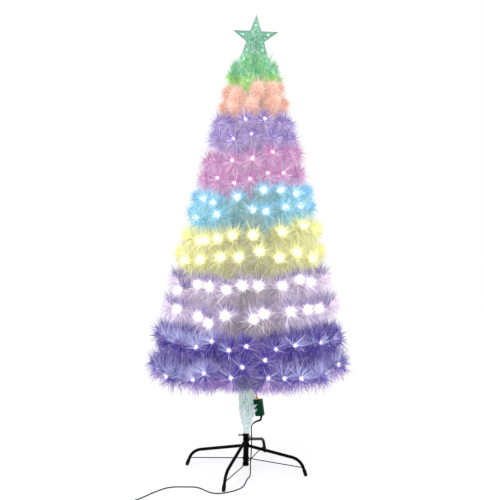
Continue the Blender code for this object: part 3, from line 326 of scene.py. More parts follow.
# %% One tube from the strain relief to the adapter
POINTS_PER_TURN, LINE_STEP = 24, 0.0045
ADAPTER_HEIGHT, ADAPTER_GAP = 0.013, 0.0003
winding = [coil_point(turn) for turn in np.linspace(0, TURNS, round(TURNS * POINTS_PER_TURN) + 1)]
relief_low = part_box("adapter_relief")[0]
adapter_end = (relief_low.x - ADAPTER_GAP, winding[-1][1], ADAPTER_HEIGHT)
lead_out = (adapter_end[0] - 2 * CORD_RADIUS, winding[-1][1], ADAPTER_HEIGHT)
last_stretch = smooth_line([winding[-2], winding[-1], lead_out, adapter_end])
# its first 12 points and the one after them lie in the winding
cord_points = [*smooth_line([*CORD_HANGS, *CORD_LIES, winding[0]])[:-1], *winding, *last_stretch[13:]]
cord_line = evenly(cord_points, LINE_STEP)
cord = new_piece("mains_cord", *tube_mesh(cord_line, CORD_RADIUS, 10), cord_pvc)
length = np.linalg.norm(np.diff(cord_line, axis=0), axis=1).sum()
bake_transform(cord)
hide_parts("cord", "cord_coil")
print(f"cord {length:.3f} m in {len(cord_line)} points")


# %% [markdown]
# ## The stand
#
# The legs, collars, rods and tube are steel tube and rod, welded, bent and powder coated black. Powder is
# sprayed on dry and baked, which leaves a hard, fairly glossy skin with a faint orange peel. The packed
# shapes are right, so they stay and only get this finish.


# %% Powder coat, end caps and zinc
def finish_nodes(material, *names):
    """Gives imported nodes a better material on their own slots."""
    for name in names:
        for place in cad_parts[name].material_slots:
            place.material = material


# orange peel on powder coat is about 2 mm across, so 500 to the metre
powder_coat = mottled(
    "black_powder_coat", 500.0, [(0.3, "#010102"), (0.7, "#050506")], 0.0002, Roughness=0.30, IOR=1.5,
    Specular_IOR_Level=0.04,
)
# moulded PVC is duller and picks up dust, in specks about 4 mm apart
pvc_cap = mottled(
    "black_pvc_cap", 260.0, [(0.35, "#020202"), (0.8, "#0A0A0A")], 0.0003, Roughness=0.60, IOR=1.53,
    Specular_IOR_Level=0.08,
)
# zinc plate on small screws and pins has a blue grey bloom in patches about 3 mm across
zinc_plate = mottled(
    "zinc_plated_steel", 330.0, [(0.3, "#7F8E8C"), (0.7, "#B4BFBE")], 0.0001, Metallic=1.0, Roughness=0.34,
)
finish_nodes(
    powder_coat, "stand_tube", "side_leg_collar", "side_rod_collar", "front_leg_collar", "front_rod_collar",
    *(f"{place}_{part}" for place in ("left", "right", "front", "back") for part in ("leg", "brace_rod")),
    "lower_pole", "upper_pole",
)
finish_nodes(pvc_cap, *(f"{place}_foot_cap" for place in ("left", "right", "front", "back")))
finish_nodes(zinc_plate, "thumb_screw_left", "thumb_screw_front", "plug_pin_left", "plug_pin_right")
print("stand finished in", powder_coat.name)

# %% [markdown]
# ## Adapter and tie
#
# The adapter is an ABS case, spark textured in the mould, so it has a fine dry grain. The tie is a
# soft strap round one side of the coil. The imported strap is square, so a rounded one takes its place.

# %% ABS for the adapter
# spark texture is about 0.3 mm, too fine to show, so it is drawn at 1 mm
black_abs = mottled(
    "black_abs_spark_texture", 1000.0, [(0.3, "#0A0B0C"), (0.7, "#141517")], 0.0002, Roughness=0.50, IOR=1.54,
    Specular_IOR_Level=0.2,
)
finish_nodes(black_abs, "adapter_body", "adapter_pin_face")
finish_nodes(cord_pvc, "adapter_relief")
print("material", black_abs.name)


# %% A strap round the coil
TIE_WIDTH, TIE_THICK, TIE_EDGE = 0.005, 0.0009, 0.0003
# its section's corners: metres out from the coil's middle, and up
TIE_LOW, TIE_HIGH = (0.0140, 0.0001), (0.0372, 0.0119)
TIE_SIDES = 28


def strap_mesh(low, high, across, along):
    """A flat strap in a rounded loop, between two corners of a plane that goes out and up."""
    middle = (low + high) / 2
    half_across, half_up = (high - low) / 2
    verts, faces = [], []
    for k in range(TIE_SIDES):
        angle = math.tau * k / TIE_SIDES
        c, s = math.cos(angle), math.sin(angle)
        # this makes a circle's point one of a rounded square
        square = (abs(c) ** 3 + abs(s) ** 3) ** (-1 / 3)
        for inset, edge in ((0, TIE_EDGE), (TIE_THICK, 0)):
            for side in (-1, 1):
                a = middle[0] + (half_across - inset) * c * square
                u = middle[1] + (half_up - inset) * s * square
                place = across * a + along * side * (TIE_WIDTH / 2 - edge)
                verts.append((place[0], place[1], u))
    for k in range(TIE_SIDES):
        a, b = 4 * k, 4 * ((k + 1) % TIE_SIDES)
        for i, j in ((0, 1), (1, 3), (3, 2), (2, 0)):
            faces.append((a + i, a + j, b + j, b + i))
    return verts, faces


tie_angle = math.radians(50)
outward = np.array([math.cos(tie_angle), math.sin(tie_angle)])
onward = np.array([-outward[1], outward[0]])
coil_reach = np.array([outward @ COIL_CENTRE, 0])
shift = onward * (onward @ COIL_CENTRE)
verts, faces = strap_mesh(coil_reach + TIE_LOW, coil_reach + TIE_HIGH, outward, onward)
tie = new_piece("coil_tie", [(x + shift[0], y + shift[1], z) for x, y, z in verts], faces, pvc_cap, "stand")
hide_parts("cord_tie")

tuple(CORD_HANGS[0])
print("cord declared, with", len(cord_line), "points on its path")

# %% [markdown]
# ## Control box, bush and leads
#
# The box is dark green ABS in two halves. A yellow rubber bush holds the orange lead that goes up to the
# lamps, and a ribbed PVC sleeve guards the mains cord where it leaves below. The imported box, board and bush
# have the right shapes and only get a finish. The lead and the sleeve are coarse, so they are made again.

# %% Green ABS, laminate and silicone
# the box has a spark texture too, drawn at about 1 mm
green_abs = mottled(
    "dark_green_abs", 900.0, [(0.3, "#00361E"), (0.7, "#004228")], 0.0002, Roughness=0.40, IOR=1.54,
    Specular_IOR_Level=0.05,
)
# the glass cloth in a circuit board shows through its green lacquer, about 0.7 mm from thread to thread
laminate = mottled(
    "fr4_laminate", 1400.0, [(0.3, "#1A6B3A"), (0.7, "#23804A")], 0.0001, Roughness=0.4, IOR=1.55,
)
# silicone is soft and matt, and holds specks of dust between 1 and 2 mm apart
yellow_silicone = mottled(
    "yellow_silicone", 700.0, [(0.3, "#DDB52E"), (0.7, "#EFCB48")], 0.0002, Roughness=0.5, IOR=1.41,
)
finish_nodes(green_abs, "control_box_front", "control_box_back", "mode_button")
finish_nodes(laminate, "circuit_board")
finish_nodes(yellow_silicone, "output_grommet")
print("box finished in", green_abs.name)

# %% The orange lead
LEAD_RADIUS = 0.0024
# a soft skin with faint marks where it was drawn over the wires, about 1.7 mm across
orange_pvc = mottled(
    "orange_pvc", 600.0, [(0.3, "#D9531E"), (0.7, "#EC6E36")], 0.0002, Roughness=0.4, IOR=1.53,
)
lead_points = smooth_line([
    (0.0389, -0.0192, 0.3070), (0.0380, -0.0190, 0.3125), (0.0360, -0.0180, 0.3200),
    (0.0325, -0.0160, 0.3280), (0.0280, -0.0137, 0.3345), (0.0225, -0.0115, 0.3400),
])
lead = new_piece("lamp_lead", *tube_mesh(lead_points, LEAD_RADIUS, 12), orange_pvc, "lower_tree")
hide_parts("output_lead")
print("lead from", lead_points[0], "to", lead_points[-1])

# %% [markdown]
# ### The ribbed sleeve
#
# A moulded strain relief is ribbed so that it bends evenly. It is one tube whose radius goes in and out
# along its length, and gets slimmer towards the cord.

# %% Sleeve on the cord's first bend
SLEEVE_STEP, SLEEVE_SIDES = 0.0006, 14
SLEEVE_RADIUS, SLEEVE_TAPER = 0.0044, 0.0019
RIBS, RIB_HEIGHT, RIBS_END = 14, 0.00045, 0.96
sleeve_line = smooth_line([
    (0.0578, -0.0245, 0.2350), (0.0576, -0.0265, 0.2300), (0.0560, -0.0305, 0.2225),
    (0.0530, -0.0335, 0.2190), (0.0450, -0.0372, 0.2168), (0.0365, -0.0405, 0.2150),
    (0.0290, -0.0425, 0.2105), (0.0235, -0.0430, 0.2050),
])
sleeve_line = evenly(sleeve_line, SLEEVE_STEP)
share = np.linspace(0, 1, len(sleeve_line))
ribbed = (np.cos(share * math.tau * RIBS) > 0) & (share < RIBS_END)
sleeve_radii = SLEEVE_RADIUS - SLEEVE_TAPER * share + RIB_HEIGHT * ribbed
sleeve_mesh = tube_mesh(sleeve_line, sleeve_radii, SLEEVE_SIDES)
sleeve = new_piece("ribbed_sleeve", *sleeve_mesh, pvc_cap, "lower_tree")
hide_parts("strain_relief")
print("sleeve", round(1000 * SLEEVE_STEP * (len(sleeve_line) - 1)), "mm long")

# %% [markdown]
# ## The fibre bundle
#
# The optical fibres of every branch run down the pole and are gathered into its foot, where the lamp
# shines into them. They are drawn acrylic, clear and hair thin. Here each drawn strand stands for a
# hundred. Strands keep their places round the pole and swell and draw in together, and loose ones stand out
# all over like down. One turned shape with a striped finish would be quicker, but its outline would be too
# clean, so each strand is a thin tube of its own.

# %% Drawn acrylic
# acrylic is clear. Its colour here is painted white low down, where it is lit from behind, and painted
# green teal shade towards the top, under the foliage, and it has a faint painted glow of its own
FOOT_HEIGHT, FOLIAGE_HEIGHT = 0.16, 0.37
acrylic_fibre, tree, shader = start_material(
    "drawn_acrylic_fibre", Roughness=0.22, IOR=1.49, Emission_Color=linear("#E2F1EF"), Emission_Strength=0.16
)
texture = add_node(tree, "ShaderNodeTexCoord")
parts = add_node(tree, "ShaderNodeSeparateXYZ", {"Vector": texture.outputs["Object"]})
heights = {"Value": parts.outputs["Z"], "From Min": FOOT_HEIGHT, "From Max": FOLIAGE_HEIGHT}
painted_shade_height = add_node(tree, "ShaderNodeMapRange", heights)
# painted shade: the strands darken from pale at the foot to green teal at the top
shades = add_node(
    tree,
    "ShaderNodeValToRGB",
    {"Fac": painted_shade_height.outputs["Result"]},
    [(0.0, "#A4CCD2"), (0.3, "#A8CCCC"), (0.62, "#94BEB2"), (0.82, "#7CA89C"), (1.0, "#5C8478")],
)
# painted highlight: streaks about 2.4 mm wide and 40 mm long, where bunches of strands would catch the
# light together, are mixed towards white
stretch = add_node(tree, "ShaderNodeMapping", {"Vector": texture.outputs["Object"], "Scale": (420, 420, 26)})
streaks = {"Vector": stretch.outputs["Vector"], "Scale": 1.0, "Detail": 2.0}
highlight_streaks = add_node(tree, "ShaderNodeTexNoise", streaks)
contrast = {"Value": highlight_streaks.outputs["Fac"], "From Min": 0.42, "From Max": 0.58}
bright = add_node(tree, "ShaderNodeMapRange", contrast)
tones = {0: bright.outputs["Result"], 6: shades.outputs["Color"], 7: linear("#FBFAFC")}
tint = add_node(tree, "ShaderNodeMix", tones, data_type="RGBA")
tree.links.new(tint.outputs[2], shader.inputs["Base Color"])
print("material", acrylic_fibre.name)

# %% Strands round the foot of the pole
# heights and radii of the bundle
BUNDLE = [
    (0.1560, 0.0106), (0.1860, 0.0128), (0.2040, 0.0185), (0.2170, 0.0245), (0.2480, 0.0300),
    (0.3000, 0.0310), (0.3360, 0.0300), (0.3600, 0.0270),
]
BUNDLE_FOOT = BUNDLE[0][1]
BUNDLE_STRANDS, STRAND_POINTS, STRAND_RADIUS = 340, 18, 0.0011
rng = np.random.default_rng(40)
bundle_heights = np.linspace(BUNDLE[0][0], BUNDLE[-1][0], STRAND_POINTS)
bundle_radii = np.interp(bundle_heights, *np.array(BUNDLE).T)
bundle_radii = np.convolve(np.pad(bundle_radii, 1, mode="edge"), (0.25, 0.5, 0.25), "valid")
strands = []
for _ in range(BUNDLE_STRANDS):
    depth, angle, twist = rng.random() ** 0.4, rng.random() * math.tau, rng.normal(0, 0.25)
    wander = np.cumsum(rng.normal(0, 0.05, STRAND_POINTS)) + twist * np.linspace(-1, 1, STRAND_POINTS)
    reach = BUNDLE_FOOT + depth * (bundle_radii - BUNDLE_FOOT)
    line = np.column_stack([reach * np.cos(angle + wander), reach * np.sin(angle + wander), bundle_heights])
    strands.append(tube_mesh(line, STRAND_RADIUS, 4))
bundle = new_piece("fibre_strands", *joined(strands), acrylic_fibre, "lower_tree")
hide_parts("fibre_bundle")
print(len(strands), "strands")

# %% [markdown]
# ## Tinsel needles
#
# A branch of such a tree is a twisted wire with strips of thin coloured film caught in it. The strips
# stand off the wire all round and lean towards its tip. Hair particles could make them, but particles
# don't export, so each needle is one long thin triangle, and numpy makes a whole ring of branches at once.
#
# Real strips are about 1.5 mm wide. At this picture's scale that is less than half a pixel, and the brush
# would turn into an even fog, so they are drawn about twice as wide and there are fewer of them.
#
# Each needle also gets a place on a colour map. Across the map lie the film's colours, and along it the way
# from the wire to the needle's tip.


# %% Needles as long thin triangles
# across the map a needle takes a narrow strip, and along it nearly the whole height
STRIP_ACROSS = np.array([-0.002, 0.002, 0])
STRIP_ALONG = (0.01, 0.01, 0.99)


def unit(vectors):
    """Vectors of length 1 in the same directions."""
    return vectors / np.linalg.norm(vectors, axis=-1, keepdims=True)


def strip_piece(name, roots, directions, reaches, width, material, body, rng, film=None):
    """One object of thin triangles. film is each one's place across the colour map, from 0 to 1."""
    count = len(roots)
    half = unit(np.cross(directions, unit(rng.normal(size=(count, 3))))) * np.reshape(width, (-1, 1)) / 2
    corners = np.stack([roots - half, roots + half, roots + directions * reaches[:, None]], 1)
    mesh = bpy.data.meshes.new(name)
    mesh.vertices.add(count * 3)
    mesh.vertices.foreach_set("co", corners.astype(np.float32).reshape(-1))
    mesh.loops.add(count * 3)
    mesh.loops.foreach_set("vertex_index", np.arange(count * 3, dtype=np.int32))
    mesh.polygons.add(count)
    mesh.polygons.foreach_set("loop_start", np.arange(0, count * 3, 3, dtype=np.int32))
    if film is not None:
        places = np.empty((count, 3, 2), np.float32)
        places[..., 0] = film[:, None] + STRIP_ACROSS
        places[..., 1] = STRIP_ALONG
        mesh.uv_layers.new(name="OFBake").data.foreach_set("uv", places.reshape(-1))
    mesh.update()
    mesh.validate()
    return place_mesh(name, mesh, [material], body)


print("a needle has", len(STRIP_ACROSS), "corners")


# %% Where the needles of a brush stand
# a branch hangs below a straight line by this share of its length, times its share and what is left of it
SAG = 0.05


def along_branches(starts, tips, share):
    """Points at shares of each branch, which hangs a little below a straight line, and its directions."""
    along = tips - starts
    length = np.linalg.norm(along, axis=1)[:, None]
    points = starts[:, None] + along[:, None] * share[..., None]
    points[..., 2] -= SAG * length * (share - share**2)
    forward = np.repeat(unit(along)[:, None], share.shape[1], 1)
    forward[..., 2] -= SAG * (1 - 2 * share)
    return points, unit(forward)


def brush_needles(starts, tips, per_branch, reach, rng):
    """Roots, directions, reaches and shares of the needles round every branch, as flat arrays."""
    shape = (len(starts), per_branch)
    # most stand on the outer half of the branch, and the closer to the tip the more
    outer = rng.random(shape) < 0.72
    share = np.where(outer, 1 - 0.48 * rng.random(shape) ** 1.25, rng.uniform(0.06, 0.52, shape))
    roots, forward = along_branches(starts, tips, share)
    side = unit(np.cross(forward, [0, 0, 1.0]))
    over = np.cross(side, forward)
    spin = rng.random(shape) * math.tau
    # they lean 66 degrees off the wire, and those at the tip fan out
    lean = np.radians(rng.normal(66, 12, shape))
    at_tip = share > 0.84
    lean = np.where(at_tip, np.radians(rng.uniform(36, 106, shape)), lean)
    out = side * np.cos(spin)[..., None] + over * np.sin(spin)[..., None]
    directions = unit(forward * np.cos(lean)[..., None] + out * np.sin(lean)[..., None])
    # they are longer towards the tip, and where they stand up or hang down
    upright = 0.90 + 0.34 * np.abs(directions[..., 2]) ** 1.5
    longer = (0.62 + 0.42 * share) * np.where(at_tip, 1.12, 1.0) * upright
    reaches = reach * rng.uniform(0.62, 1.14, shape) * longer
    return roots.reshape(-1, 3), directions.reshape(-1, 3), reaches.reshape(-1), share.reshape(-1)


def spray(centres, forward, count, low, high, rng, ahead=0.3, skew=1.0):
    """Roots, directions and reaches of strips that fan out from each centre. More skew, more short ones."""
    size = (len(centres) * count, 3)
    directions = unit(unit(rng.normal(size=size)) + ahead * np.repeat(forward, count, 0))
    return np.repeat(centres, count, 0), directions, low + (high - low) * rng.random(size[0]) ** skew


def together(*groups):
    """Several groups of roots, directions and reaches as one."""
    return [np.concatenate(parts) for parts in zip(*groups)]


print("a branch 300 mm long hangs", round(1000 * SAG * 0.3 / 4, 1), "mm low at its middle")

# %% Loose fibres on the bundle
LOOSE_FIBRES, LOOSE_WIDTH = 1500, 0.0024
rng = np.random.default_rng(41)
heights = rng.uniform(0.185, 0.345, LOOSE_FIBRES)
angles = rng.random(LOOSE_FIBRES) * math.tau
reach = np.interp(heights, bundle_heights, bundle_radii) * rng.uniform(0.8, 1.0, LOOSE_FIBRES)
out = np.column_stack([np.cos(angles), np.sin(angles), np.zeros(LOOSE_FIBRES)])
roots = out * reach[:, None] + np.column_stack([np.zeros((LOOSE_FIBRES, 2)), heights])
rise = rng.uniform(0.9, 2.2, LOOSE_FIBRES)
directions = unit(out + np.column_stack([rng.normal(0, 0.25, (LOOSE_FIBRES, 2)), rise]))
reaches = rng.uniform(0.008, 0.020, LOOSE_FIBRES)
down = strip_piece("loose_fibres", roots, directions, reaches, LOOSE_WIDTH, acrylic_fibre, "lower_tree", rng)
print(len(roots), "loose fibres")

# %% Fibres across the control box
# a few stray ones lie over the box's near left corner, and show white on the green
STRAYS = 17
stray_radii = np.linspace(0.0009, 0.0006, 11)
strays = []
for _ in range(STRAYS):
    foot = np.array([rng.uniform(0.008, 0.014), rng.uniform(-0.034, -0.031), rng.uniform(0.222, 0.284)])
    end = np.array([rng.uniform(0.030, 0.042), -0.0435, foot[2] + rng.uniform(0.006, 0.020)])
    middle = (foot + end) / 2 + (0.001, -0.005, -0.002)
    strays.append(tube_mesh(smooth_line([foot, middle, end], 5), stray_radii, 5))
stray = new_piece("stray_fibres", *joined(strays), acrylic_fibre, "lower_tree")
print(len(strays), "stray fibres")

# %% [markdown]
# ### The film's colours
#
# Each band of the tree is cut from its own film, PET about a tenth of a millimetre thick. It lets light
# through, so it is pale near the lit fibres and full of colour away from them, which is painted into its
# colour here. Six mixes lie side by side across a needle's own map: the dull inner ones, a painted shade,
# deep ones, darker film that also serves as painted shade, the main mix, those painted as lit by a fibre
# end, pale ones painted as catching the light, and odd strands. Along the map each mix goes from its colour
# at the wire to that at the tip, and the very ends, cut and scuffed, are frosted.

# %% Film for each band
# the inner mix is painted shade, the lit and pale mixes are painted light, and the deep mix is darker film
# that also serves as painted shade
SHADED, DEEP, MAIN, LIT, PALE, ODD = range(6)
# for each mix in that order: the colour at the wire, then at the needle's tip
FILMS = {
    "violet": (
        ("#6E807E", "#54706C"), ("#543EA6", "#301C90"), ("#9C8CCA", "#6C54B4"),
        ("#E8E0FF", "#6A48B8"), ("#E4E8FA", "#BEC4EC"), ("#F6ECFA", "#CC9AD4"),
    ),
    "white": (
        ("#8E867E", "#867E80"), ("#5C48AC", "#2C1488"), ("#D6CCDE", "#BCAAD0"),
        ("#FFFFFF", "#F4E4F6"), ("#FCF6FC", "#F0E2F4"), ("#A89CA8", "#88749C"),
    ),
    "yellow": (
        ("#A4A28C", "#9C9A82"), ("#B4B480", "#9C9C50"), ("#DEDEA8", "#CCCC80"),
        ("#FFFFF0", "#F2EE8C"), ("#F8F8DC", "#E8E6A4"), ("#9A9C80", "#8A8C70"),
    ),
    "cyan": (
        ("#9EA896", "#929C8A"), ("#4CB0DC", "#1C94D4"), ("#9ED2E0", "#66BCD8"),
        ("#F4FCFF", "#30A4E4"), ("#DCF2F6", "#B8E2EC"), ("#84A8A0", "#6C948C"),
    ),
    "pink": (
        ("#A8A0A4", "#A090A0"), ("#BC6CB0", "#98408C"), ("#D4AED0", "#C08CBC"),
        ("#FFFFFF", "#C470B4"), ("#F2DEEE", "#E8C4E2"), ("#AC84B0", "#8C5C9C"),
    ),
    "purple": (
        ("#A89E9E", "#9A8E9C"), ("#6850AC", "#3A2290"), ("#BCA8D0", "#9A82BC"),
        ("#F0EAFF", "#5C44AC"), ("#ECE8F8", "#D8D2F0"), ("#A078B4", "#8454A4"),
    ),
    "orange": (
        ("#CCB4A4", "#C8AC9C"), ("#ECC4B2", "#E8B4A0"), ("#F4D8CA", "#F0C8B8"),
        ("#FAE2D8", "#F6D4C6"), ("#F8ECE4", "#F8E2DA"), ("#E4CABE", "#DCB4A6"),
    ),
    "green": (
        ("#9CB49C", "#88A888"), ("#48B070", "#1E8C54"), ("#94D4A8", "#58B880"),
        ("#F4FFF4", "#7CD4A0"), ("#DCF4E4", "#B0E0CC"), ("#C8D85C", "#B4CC3C"),
    ),
}
# painted glow: how bright a band's own light makes its film and lifts its shaded inside, and in which
# colour where that isn't the main mix's
GLOW = {"violet": 0.15, "white": 0.18, "orange": 0.16}
PLAIN_GLOW = 0.26
GLOW_COLOUR = {"violet": "#6450A8"}
# the frosted ends
FROST = {"violet": "#D8CCF0", "purple": "#DCD4F4", "pink": "#F2DEF0", "cyan": "#E2F2FA", "orange": "#F8E0D6"}
PLAIN_FROST = "#F4F0F8"

print(len(FILMS), "films of", len(FILMS["violet"]), "mixes")


# %% Film as a material
# each mix takes a sixth of the map's width
MIX_WIDTH, MIX_MIDDLE = 0.1667, 0.0833
# from strip to strip the film's value goes up and down, and 240 steps across the map tell strips apart
STRIP_STEPS, DARKEST, BRIGHTEST = 240.0, 0.78, 1.14


def mix_place(mix, rng):
    """A place on the map inside a mix's own sixth."""
    return MIX_MIDDLE + MIX_WIDTH * mix + rng.uniform(-0.07, 0.07, len(mix))


def tinsel_film(band):
    """Slit PET film: coloured and slightly glossy, with a painted glow for the light of its own fibres."""
    mixes = FILMS[band]
    material, tree, shader = start_material(f"{band}_tinsel_film", Roughness=0.42, IOR=1.58)
    place = add_node(tree, "ShaderNodeUVMap", uv_map="OFBake")
    split = add_node(tree, "ShaderNodeSeparateXYZ", {"Vector": place.outputs["UV"]})
    across, along = split.outputs["X"], split.outputs["Y"]
    ends = []
    for end in (0, 1):
        stops = [(MIX_WIDTH * i, mix[end]) for i, mix in enumerate(mixes)]
        ramp = add_node(tree, "ShaderNodeValToRGB", {"Fac": across}, stops)
        ramp.color_ramp.interpolation = "CONSTANT"
        ends.append(ramp.outputs["Color"])
    rise = add_node(tree, "ShaderNodeMapRange", {"Value": along, "From Min": 0.1, "From Max": 0.75})
    blend = {0: rise.outputs["Result"], 6: ends[0], 7: ends[1]}
    colour = add_node(tree, "ShaderNodeMix", blend, data_type="RGBA")
    strip = add_node(tree, "ShaderNodeMath", {0: across, 1: STRIP_STEPS}, operation="MULTIPLY")
    whole = add_node(tree, "ShaderNodeMath", {0: strip.outputs[0]}, operation="ROUND")
    chance = add_node(tree, "ShaderNodeTexWhiteNoise", {"W": whole.outputs[0]}, noise_dimensions="1D")
    spread = {"Value": chance.outputs["Value"], "To Min": DARKEST, "To Max": BRIGHTEST}
    level = add_node(tree, "ShaderNodeMapRange", spread)
    toned = {"Color": colour.outputs[2], "Value": level.outputs["Result"]}
    shade = add_node(tree, "ShaderNodeHueSaturation", toned)
    frost = add_node(tree, "ShaderNodeMapRange", {"Value": along, "From Min": 0.55, "To Max": 0.6})
    frosted = linear(FROST.get(band, PLAIN_FROST))
    scuffed = {0: frost.outputs["Result"], 6: shade.outputs["Color"], 7: frosted}
    film = add_node(tree, "ShaderNodeMix", scuffed, data_type="RGBA")
    tree.links.new(film.outputs[2], shader.inputs["Base Color"])
    # a painted glow in the film's colour, which lights the needles without any lamp
    shader.inputs["Emission Color"].default_value = linear(GLOW_COLOUR.get(band, mixes[MAIN][0]))
    shader.inputs["Emission Strength"].default_value = GLOW.get(band, PLAIN_GLOW)
    return material


films = {band: tinsel_film(band) for band in FILMS}
print("film materials:", [film.name for film in films.values()])


# %% Which mix a needle is cut from
# chances, added up, that a needle is pale, odd or deep. The rest are of the main mix
CHANCES = {"violet": (0.12, 0.18, 0.50), "pink": (0.30, 0.40, 0.62), "purple": (0.30, 0.40, 0.62)}
PLAIN_CHANCES = (0.22, 0.36, 0.48)
# on the inner half of a branch, those whose draw is over this get the painted shade of the inside
SHADED_OVER = {"violet": 1.0, "pink": 0.5, "purple": 0.5}
PLAIN_SHADED = 0.2
# a needle that starts below this height is one of the lowest ring's
LOWEST_RING_TOP = 0.5


def choose_mix(band, share, roots, ends, level, rng):
    """The mix of each needle, by its place. level is its end's height over the lit tip, in reaches."""
    draw, again = rng.random(len(share)), rng.random(len(share))
    azimuth = np.arctan2(ends[:, 0], -ends[:, 1])
    facing = np.cos(azimuth) ** 2
    middle = np.exp(-((azimuth / 0.22) ** 2))
    mix = np.select([draw < chance for chance in CHANCES.get(band, PLAIN_CHANCES)], [PALE, ODD, DEEP], MAIN)
    mix[(share < 0.5) & (draw > SHADED_OVER.get(band, PLAIN_SHADED))] = SHADED
    if band == "violet":
        # painted light in pale patches half way round to each side, and painted shade on deep undersides and
        # a deep upper edge on the right
        lit_patch = np.clip(0.75 - 1.1 * np.cos(4 * azimuth), 0, 1)
        lowest = roots[:, 2] < LOWEST_RING_TOP
        mix[(level > -0.1) & (share > 0.3) & (again < 0.85 * lit_patch)] = PALE
        mix[(level < -0.3) & ~lowest & (again < 0.75)] = DEEP
        mix[(level > 0.8) & ~lowest & (azimuth > -0.1) & (again < 0.9)] = DEEP
        # the lowest ring's underside is mixed, with painted shade right under its middle
        mix[(level < -0.5) & lowest & (again < 0.5)] = ODD
        mix[(level < -0.3) & lowest & (again < 0.9 * np.exp(-((azimuth / 0.07) ** 2)))] = SHADED
    elif band == "white":
        # painted light: pale at the sides; painted shade: deep violet at the upper edge and dull below in
        # front
        mix[(share > 0.5) & (level < 0.55) & (again > 0.25 + 0.55 * facing)] = PALE
        mix[(level > 0.84) & (again < 1.3 * np.abs(np.sin(azimuth)) ** 0.5)] = DEEP
        mix[(level < -0.1) & (again < 0.5 * facing**2 + 0.45 * middle)] = SHADED
    elif band in ("yellow", "cyan"):
        # painted light: pale at the sides; painted shade: dull below in front, with odd strands there
        mix[(share > 0.5) & (again > 0.4 + 0.6 * facing)] = PALE
        mix[(level < 0.3) & (again < 0.55 * facing**2 + 0.4 * middle)] = SHADED
        mix[(level < 0.2) & (again > 0.9)] = ODD
    elif band in ("pink", "purple"):
        # painted shade: dull in front, most of all below, and deep above; painted light: pale at the lower
        # ends
        mix[(share < 0.8) & (again < 0.35 * facing)] = SHADED
        mix[(level < -0.3) & (again < 0.35 * facing + 0.3 * middle)] = SHADED
        mix[(level > 0.3) & (again > 0.55)] = DEEP
        mix[(level < 0.1) & (share > 0.6) & (again > 0.78)] = PALE
    elif band == "green":
        # deep above, and yellow green at the lower edge
        mix[(level > 0.2) & (again < 0.5)] = DEEP
        mix[(ends[:, 2] < 1.568) & (again < 0.75)] = ODD
    return mix


print("a plain band's needles are of the main mix in", round(1 - PLAIN_CHANCES[-1], 2), "of cases")

# %% [markdown]
# ### Sixteen rings of branches
#
# Each ring is a hub on the pole with 6 to 24 branches that rise to their tips. The lit tips at the front
# stand where the photograph shows them, as angles round the tree, and the rest go evenly round the back.
# One branch could be copied all round, but copies show as a pattern, so every branch gets its own needles.

# %% The rings, from the lowest up
# node, lit tips' radius, height and number, needle reach, and the light's radius, all in metres
RINGS = [
    ("violet_branches_low", 0.368, 0.475, 24, 0.060, 0.0085),
    ("violet_branches_high", 0.345, 0.573, 24, 0.060, 0.0088),
    ("white_branches_low", 0.315, 0.678, 24, 0.058, 0.0202),
    ("white_branches_high", 0.289, 0.780, 22, 0.058, 0.0198),
    ("yellow_branches_low", 0.263, 0.882, 20, 0.056, 0.0194),
    ("yellow_branches_high", 0.243, 0.960, 18, 0.054, 0.0186),
    ("cyan_branches_low", 0.220, 1.049, 16, 0.052, 0.0164),
    ("cyan_branches_high", 0.206, 1.106, 16, 0.050, 0.0168),
    ("pink_branches_low", 0.188, 1.174, 14, 0.050, 0.0070),
    ("pink_branches_high", 0.169, 1.250, 12, 0.050, 0.0076),
    ("purple_branches_low", 0.150, 1.323, 12, 0.048, 0.0066),
    ("purple_branches_high", 0.136, 1.379, 10, 0.048, 0.0068),
    ("orange_branches_low", 0.107, 1.446, 8, 0.044, 0.0190),
    ("orange_branches_high", 0.094, 1.506, 8, 0.043, 0.0190),
    ("green_branches_low", 0.089, 1.560, 6, 0.038, 0.0024),
    ("green_branches_high", 0.076, 1.610, 6, 0.028, 0.0024),
]
# the lit tips that face the camera: degrees round from the front, and millimetres above their ring
FRONT_TIPS = {
    "violet_branches_low": (
        (-53, -44), (-31, -29), (-24, 0), (-9, -8), (-3, 30), (9, 57), (11, -6), (20, -9), (30, -15), (62, 4),
    ),
    "violet_branches_high": ((-32, -15), (-22, 12), (-11, -12), (-1, 3), (16, -7), (28, 3), (47, 1)),
    "white_branches_low": (
        (-54, -2), (-33, -14), (-26, -33), (-15, -2), (3, -12), (9, 9), (27, 14), (40, 17), (53, 12),
    ),
    "white_branches_high": (
        (-61, -37), (-39, -6), (-29, -6), (-16, -15), (-5, 3), (6, 2), (23, 2), (37, 22), (49, 9),
    ),
    "yellow_branches_low": (
        (-62, -29), (-41, -17), (-23, -4), (-9, -1), (7, 20), (22, 0), (37, 17), (58, -7),
    ),
    "yellow_branches_high": ((-48, -30), (-40, -24), (-27, -16), (-15, -3), (2, 0), (26, 13), (50, 34)),
    "cyan_branches_low": ((-63, -35), (-33, -19), (1, 3), (13, -2), (32, 12), (53, 16)),
    "cyan_branches_high": ((-55, -22), (-42, -34), (-14, -10), (11, 17), (30, 17), (49, 6)),
    "pink_branches_low": ((-38, -9), (-19, -26), (-2, -10), (17, 11), (35, 12)),
    "pink_branches_high": ((-24, -20), (0, -12), (24, 13)),
    "purple_branches_low": ((-27, -13), (-2, 4)),
    "purple_branches_high": ((-12, 3), (17, 6)),
    "orange_branches_low": ((-41, -12), (-5, -5), (44, 14)),
    "orange_branches_high": ((-41, -26), (7, -1), (42, 3)),
    "green_branches_low": ((-15, -28),),
    "green_branches_high": ((-28, 0),),
}
# the two lowest rings' branches hang this much lower at the sides, and so do the highest ring's
DROOPS = {"violet_branches_low": 0.030, "violet_branches_high": 0.015, "green_branches_high": 0.016}
